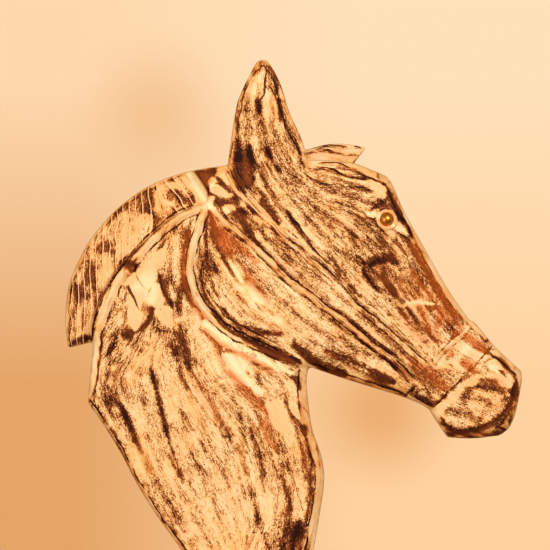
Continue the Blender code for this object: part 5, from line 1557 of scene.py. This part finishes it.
def streaks(tree, place, flow, across, along, detail=2.0):
    """Noise stretched along the flow: taken at the two rounded angles, and blended."""
    steps = math_node(tree, "DIVIDE", flow, FLOW_STEP)
    lower = math_node(tree, "FLOOR", steps)
    share = math_node(tree, "SUBTRACT", steps, lower)
    lower_angle = math_node(tree, "MULTIPLY", lower, FLOW_STEP)
    upper_angle = math_node(tree, "ADD", lower_angle, FLOW_STEP)
    lower_noise = turned_noise(tree, place, lower_angle, across, along, detail)
    upper_noise = turned_noise(tree, place, upper_angle, across, along, detail)
    change = math_node(tree, "SUBTRACT", upper_noise, lower_noise)
    return math_node(tree, "MULTIPLY_ADD", change, share, lower_noise)


def colour_ramp(tree, factor, stops):
    """A colour ramp through (place, rgb) stops."""
    ramp = node(tree, "ShaderNodeValToRGB", Fac=factor)
    elements = ramp.color_ramp.elements
    elements[0].position, elements[1].position = stops[0][0], stops[-1][0]
    elements[0].color, elements[1].color = opaque(stops[0][1]), opaque(stops[-1][1])
    for place, rgb in stops[1:-1]:
        elements.new(place).color = opaque(rgb)
    return ramp.outputs[0]


def map_range(tree, value, start, end, from_start, to_end, kind="LINEAR"):
    """The output of a Map Range node: start to end in the value become from_start to to_end."""
    made = node(tree, "ShaderNodeMapRange", Value=value, From_Min=start, From_Max=end, To_Min=from_start,
                To_Max=to_end)
    made.interpolation_type = kind
    return made.outputs[0]


def mix_colours(tree, factor, first, second, blend="MIX"):
    """The output of a Mix node for colours."""
    mix = tree.nodes.new("ShaderNodeMix")
    mix.data_type = "RGBA"
    mix.blend_type = blend
    connect(tree, mix.inputs["Factor"], factor)
    connect(tree, mix.inputs[6], first)
    connect(tree, mix.inputs[7], second)
    return mix.outputs[2]


def new_material(name):
    """A material with an empty principled shader, and its node tree."""
    material = bpy.data.materials.new(name)
    material.use_nodes = True
    tree = material.node_tree
    return material, tree, tree.nodes["Principled BSDF"]


print("angles of the noise in half a turn:", round(math.pi / FLOW_STEP))

# %% [markdown]
# Three noises break the paint up: fine streaks and broad ones along the strokes, and a stipple that
# has no direction, like the weave of the brush. Thin cream lets the brown through before it is
# gone, so the cover is tinted by a first ramp, and where it has gone a second ramp runs from thin
# paint to nearly black. Red-brown takes the second ramp's place where the wood is rusty.

# %% The dry-brushed wood
STREAKS = [(0.7, 4.0, 1.0), (1.7, 14.0, 0.2)]
STIPPLE_SIZE = 1.05
STIPPLE_SHARE = 0.95
HAIRLINE = 0.09
INK_HALF_WIDTH = (0.25, 0.95)
INK_DARKNESS = 0.42
COMB_LINES = [(0.4, 0.14), (0.6, -0.48)]
SHOWING = (0.17, 0.74)
BARE = (0.5, 0.66)
COVER_TINTS = [(0.1, (255, 255, 255)), (0.34, (250, 236, 212)), (0.5, (224, 178, 126)),
               (0.64, (160, 98, 52))]
BARE_TONES = [(0.5, (184, 112, 54)), (0.66, (116, 54, 16)), (0.82, (88, 38, 12)), (1.0, (38, 9, 0))]
RUSTY_BROWN = (140, 64, 10)
PAINT_ROUGHNESS = 0.6
PAINT_SHINE = 0.08
BUMP_STRENGTH = 0.35
BUMP_HEIGHT = 0.4


def comb_lines(tree):
    """Thin cuts in the mane: a dark hairline and a light one between any two numbers of the comb."""
    comb = math_node(tree, "FRACT", attribute(tree, "comb"))
    lines = 0.0
    for place, strength in COMB_LINES:
        away = math_node(tree, "ABSOLUTE", math_node(tree, "SUBTRACT", comb, place))
        lines = math_node(tree, "ADD", lines, map_range(tree, away, 0.0, HAIRLINE, strength, 0.0))
    return math_node(tree, "MULTIPLY", lines, attribute(tree, "mane"))


def wood_material():
    """Cream over brown: the sum of undercoat and noise decides how much brown shows."""
    material, tree, shader = new_material("dry-brushed wood")
    place = tree.nodes.new("ShaderNodeTexCoord").outputs["Object"]
    flow = attribute(tree, "flow")
    stipple = node(tree, "ShaderNodeTexNoise", Vector=place, Scale=1 / (STIPPLE_SIZE * MM), Detail=3.0,
                   Roughness=0.65).outputs[0]
    noise = 0.0
    textures = [(streaks(tree, place, flow, across, along), share) for across, along, share in STREAKS]
    for texture, share in textures + [(stipple, STIPPLE_SHARE)]:
        noise = math_node(tree, "MULTIPLY_ADD", math_node(tree, "SUBTRACT", texture, 0.5), share, noise)
    total = math_node(tree, "MULTIPLY_ADD", noise, attribute(tree, "rough"), attribute(tree, "undercoat"))
    from_line = math_node(tree, "ABSOLUTE", attribute(tree, "ink"))
    ink = map_range(tree, from_line, *INK_HALF_WIDTH, INK_DARKNESS, 0.0)
    total = math_node(tree, "MULTIPLY_ADD", ink, attribute(tree, "inked"), total)
    total = math_node(tree, "ADD", total, comb_lines(tree))
    showing = map_range(tree, total, *SHOWING, 0.0, 1.0)
    covered = mix_colours(tree, 1.0, attribute(tree, "paint", "Color"),
                          colour_ramp(tree, showing, COVER_TINTS), "MULTIPLY")
    bare = mix_colours(tree, attribute(tree, "rusty"), colour_ramp(tree, showing, BARE_TONES),
                       opaque(RUSTY_BROWN))
    bare_share = map_range(tree, showing, *BARE, 0.0, 1.0)
    connect(tree, shader.inputs["Base Color"], mix_colours(tree, bare_share, covered, bare))
    shader.inputs["Roughness"].default_value = PAINT_ROUGHNESS
    shader.inputs["Specular IOR Level"].default_value = PAINT_SHINE
    bump = node(tree, "ShaderNodeBump", Height=total, Strength=BUMP_STRENGTH, Distance=BUMP_HEIGHT * MM)
    bump.invert = True
    connect(tree, shader.inputs["Normal"], bump.outputs[0])
    return material


wood = wood_material()
head.data.materials.clear()
head.data.materials.append(wood)
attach(head, "root")
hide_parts("horse_head")
print("wood:", len(wood.node_tree.nodes), "nodes")

# %% [markdown]
# Each eye is a brass stud: a low dome turned about its own axis, so it is a surface of two
# parameters, the place along its section and the angle round it. Its rim sits in the drilled
# socket with a gap of 0.3 mm, which the carved ring hides.

# %% The brass eye studs
STUD_DOME = 3.2
STUD_AROUND = 64
STUD_ALONG = 20
BRASS_TONES = [(0.35, (236, 156, 60)), (0.7, (140, 74, 26))]
BRASS_ROUGHNESS = (0.2, 0.42)
WEAR_SCALE = 600.0


def turned_solid(name, section, around):
    """A closed mesh made by turning a section of (radius, height) rows in mm about the Y axis."""
    angles = np.linspace(0, 2 * math.pi, around, endpoint=False)
    radius, height = np.array(section).T
    rings = np.stack([radius[1:-1, None] * np.cos(angles), np.repeat(height[1:-1, None], around, axis=1),
                      radius[1:-1, None] * np.sin(angles)], axis=2)
    places = np.vstack([rings.reshape(-1, 3), [(0, height[0], 0), (0, height[-1], 0)]])
    steps = np.arange(around)
    nexts = (steps + 1) % around
    faces = []
    for ring in range(len(section) - 3):
        low, high = ring * around, (ring + 1) * around
        faces += np.column_stack([low + steps, low + nexts, high + nexts, high + steps]).tolist()
    last = (len(section) - 3) * around
    first_pole, last_pole = len(places) - 2, len(places) - 1
    faces += np.column_stack([np.full(around, first_pole), nexts, steps]).tolist()
    faces += np.column_stack([np.full(around, last_pole), last + steps, last + nexts]).tolist()
    mesh = bpy.data.meshes.new(name)
    mesh.from_pydata((places * MM).tolist(), [], faces)
    mesh.update()
    return as_object(name, mesh)


def brass_material():
    """Brass with a darker worn tone and fine unevenness in its polish."""
    material, tree, shader = new_material("brass")
    place = tree.nodes.new("ShaderNodeTexCoord").outputs["Object"]
    wear = node(tree, "ShaderNodeTexNoise", Vector=place, Scale=WEAR_SCALE, Detail=3.0).outputs[0]
    connect(tree, shader.inputs["Base Color"], colour_ramp(tree, wear, BRASS_TONES))
    connect(tree, shader.inputs["Roughness"], map_range(tree, wear, 0.0, 1.0, *BRASS_ROUGHNESS))
    shader.inputs["Metallic"].default_value = 1.0
    return material


def eye_stud(name, side, cad_name):
    """One stud, its dome outwards on the side given: -1 right, +1 left."""
    ball = (EYE_STUD_RADIUS**2 + STUD_DOME**2) / (2 * STUD_DOME)
    angles = np.linspace(0, math.asin(EYE_STUD_RADIUS / ball), STUD_ALONG)
    section = [(ball * math.sin(a), STUD_DOME - ball * (1 - math.cos(a))) for a in angles]
    section += [(EYE_STUD_RADIUS, -EYE_STUD_RIM), (0, -EYE_STUD_RIM)]
    stud = turned_solid(name, section, STUD_AROUND)
    places = read_places(stud.data)
    places[:, 1] *= side
    write_places(stud.data, places + np.array([EYE[0], side * EYE_HALF, EYE[1]]) * MM)
    if side < 0:
        stud.data.flip_normals()
    stud.data.shade_smooth()
    stud.data.materials.append(brass)
    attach(stud, "root")
    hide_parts(cad_name)
    return stud


brass = brass_material()
studs = [eye_stud("brass_eye_right", -1, "eye_stud_right"), eye_stud("brass_eye_left", 1, "eye_stud_left")]
print("studs:", [len(s.data.polygons) for s in studs])

# %% [markdown]
# The light is soft and warm, from the right, above and in front, and a second one fills from the
# left. Each is a square panel, given with its place, size, power and colour. The backdrop is a
# peach wall with painted light on it: brighter towards the right and the top, darker to the lower
# left, and with two soft painted shadows of the head. The world gives it to the camera alone, as a
# gradient over the direction of view, while other rays see a warm studio that lights the horse.
# The floor is a small disc that fades out.

# %% Light, backdrop and floor
KEY = ((0.7, -1.7, 1.1), 0.8, 30.0, (1.0, 0.91, 0.85))
FILL = ((-1.2, -1.5, 0.4), 1.2, 19.0, (1.0, 0.87, 0.76))
AMBIENT = ((1.0, 0.82, 0.62, 1), 0.38)
BACKDROP_HALF_WIDTH = 0.234 / CAMERA_DISTANCE
# The wall colours hold painted light: darker low on the left, brighter towards the right and the top.
WALL_LOW_LEFT = (229, 165, 102)
WALL_LOW_RIGHT = (255, 210, 159)
WALL_HIGH_LEFT = (254, 216, 172)
WALL_HIGH_RIGHT = (255, 225, 185)
# The colour and the spots of two soft painted shadows of the head on the wall: place and radius in pixels,
# and strength.
WALL_SHADOW = (236, 172, 110)
WALL_SHADOWS = [((380, 408), 100, 0.95), ((155, 110), 95, 0.45)]
WALL_SIDEWAYS = (-0.72 * BACKDROP_HALF_WIDTH, 0.3 * BACKDROP_HALF_WIDTH)
WALL_UPWARD = (-0.4 * BACKDROP_HALF_WIDTH, 0.7 * BACKDROP_HALF_WIDTH)
FLOOR_RADIUS = 0.12
FLOOR_FADES = (0.05, 0.95 * FLOOR_RADIUS)
FLOOR_DENSITY = 0.7


def area_light(name, place, size, power, colour):
    """A square light at a place, aimed at the middle of the horse."""
    data = bpy.data.lights.new(name, "AREA")
    data.size = size
    data.energy = power
    data.color = colour
    light = bpy.data.objects.new(name, data)
    light.location = place
    middle = (MODEL_LOW + MODEL_HIGH) / 2
    light.rotation_euler = (middle - light.location).to_track_quat("-Z", "Y").to_euler()
    bpy.context.scene.collection.objects.link(light)


def make_world():
    """A peach gradient of painted light, with two painted shadows of the head, for the camera, and a warm
    even light for everything else.
    """
    world = bpy.data.worlds.new("backdrop")
    bpy.context.scene.world = world
    world.use_nodes = True
    tree = world.node_tree
    tree.nodes.clear()
    direction = tree.nodes.new("ShaderNodeTexCoord").outputs["Generated"]
    parts = node(tree, "ShaderNodeSeparateXYZ", Vector=direction)
    sideways = map_range(tree, parts.outputs["X"], *WALL_SIDEWAYS, 0.0, 1.0)
    upward = map_range(tree, parts.outputs["Z"], *WALL_UPWARD, 0.0, 1.0)
    low = mix_colours(tree, sideways, opaque(WALL_LOW_LEFT), opaque(WALL_LOW_RIGHT))
    high = mix_colours(tree, sideways, opaque(WALL_HIGH_LEFT), opaque(WALL_HIGH_RIGHT))
    colour = mix_colours(tree, upward, low, high)
    pixel_angle = PIXEL * MM / CAMERA_DISTANCE
    # Each spot darkens the backdrop towards WALL_SHADOW: a painted shadow of the head.
    for (column, row), radius, strength in WALL_SHADOWS:
        away = node(tree, "ShaderNodeVectorMath", Vector=direction)
        away.operation = "DISTANCE"
        away.inputs[1].default_value = ((column - PHOTO_SIZE / 2) * pixel_angle, 1.0,
                                        (PHOTO_SIZE / 2 - row) * pixel_angle)
        shade = map_range(tree, away.outputs["Value"], 0.0, radius * pixel_angle, strength, 0.0,
                          "SMOOTHSTEP")
        colour = mix_colours(tree, shade, colour, opaque(WALL_SHADOW))
    wall = node(tree, "ShaderNodeBackground", Color=colour)
    room = node(tree, "ShaderNodeBackground", Color=AMBIENT[0], Strength=AMBIENT[1])
    seen = tree.nodes.new("ShaderNodeLightPath").outputs["Is Camera Ray"]
    both = node(tree, "ShaderNodeMixShader", Fac=seen)
    connect(tree, both.inputs[1], room.outputs[0])
    connect(tree, both.inputs[2], wall.outputs[0])
    output = tree.nodes.new("ShaderNodeOutputWorld")
    connect(tree, output.inputs["Surface"], both.outputs[0])


def make_floor():
    """A disc under the horse that takes its shadow, and is clear from its fade radius outwards."""
    bpy.ops.mesh.primitive_circle_add(vertices=96, radius=FLOOR_RADIUS, fill_type="NGON",
                                      location=(0, 0, -0.0002))
    floor = bpy.context.object
    floor.name = "floor"
    material, tree, shader = new_material("floor")
    place = tree.nodes.new("ShaderNodeTexCoord").outputs["Object"]
    distance = node(tree, "ShaderNodeVectorMath", Vector=place)
    distance.operation = "LENGTH"
    fade = map_range(tree, distance.outputs["Value"], *FLOOR_FADES, FLOOR_DENSITY, 0.0, "SMOOTHSTEP")
    connect(tree, shader.inputs["Alpha"], fade)
    shader.inputs["Base Color"].default_value = opaque(WALL_HIGH_LEFT)
    shader.inputs["Roughness"].default_value = 0.8
    floor.data.materials.append(material)


area_light("key", *KEY)
area_light("fill", *FILL)
make_world()
make_floor()
bpy.context.scene.view_settings.view_transform = "Standard"

# %% [markdown]
# Last, we print the box of the imported model in millimetres. The finer skin must keep the
# model's size.

# %% The size, and the end
print("model box in mm:", [round(v / MM, 1) for v in (*MODEL_LOW, *MODEL_HIGH)])
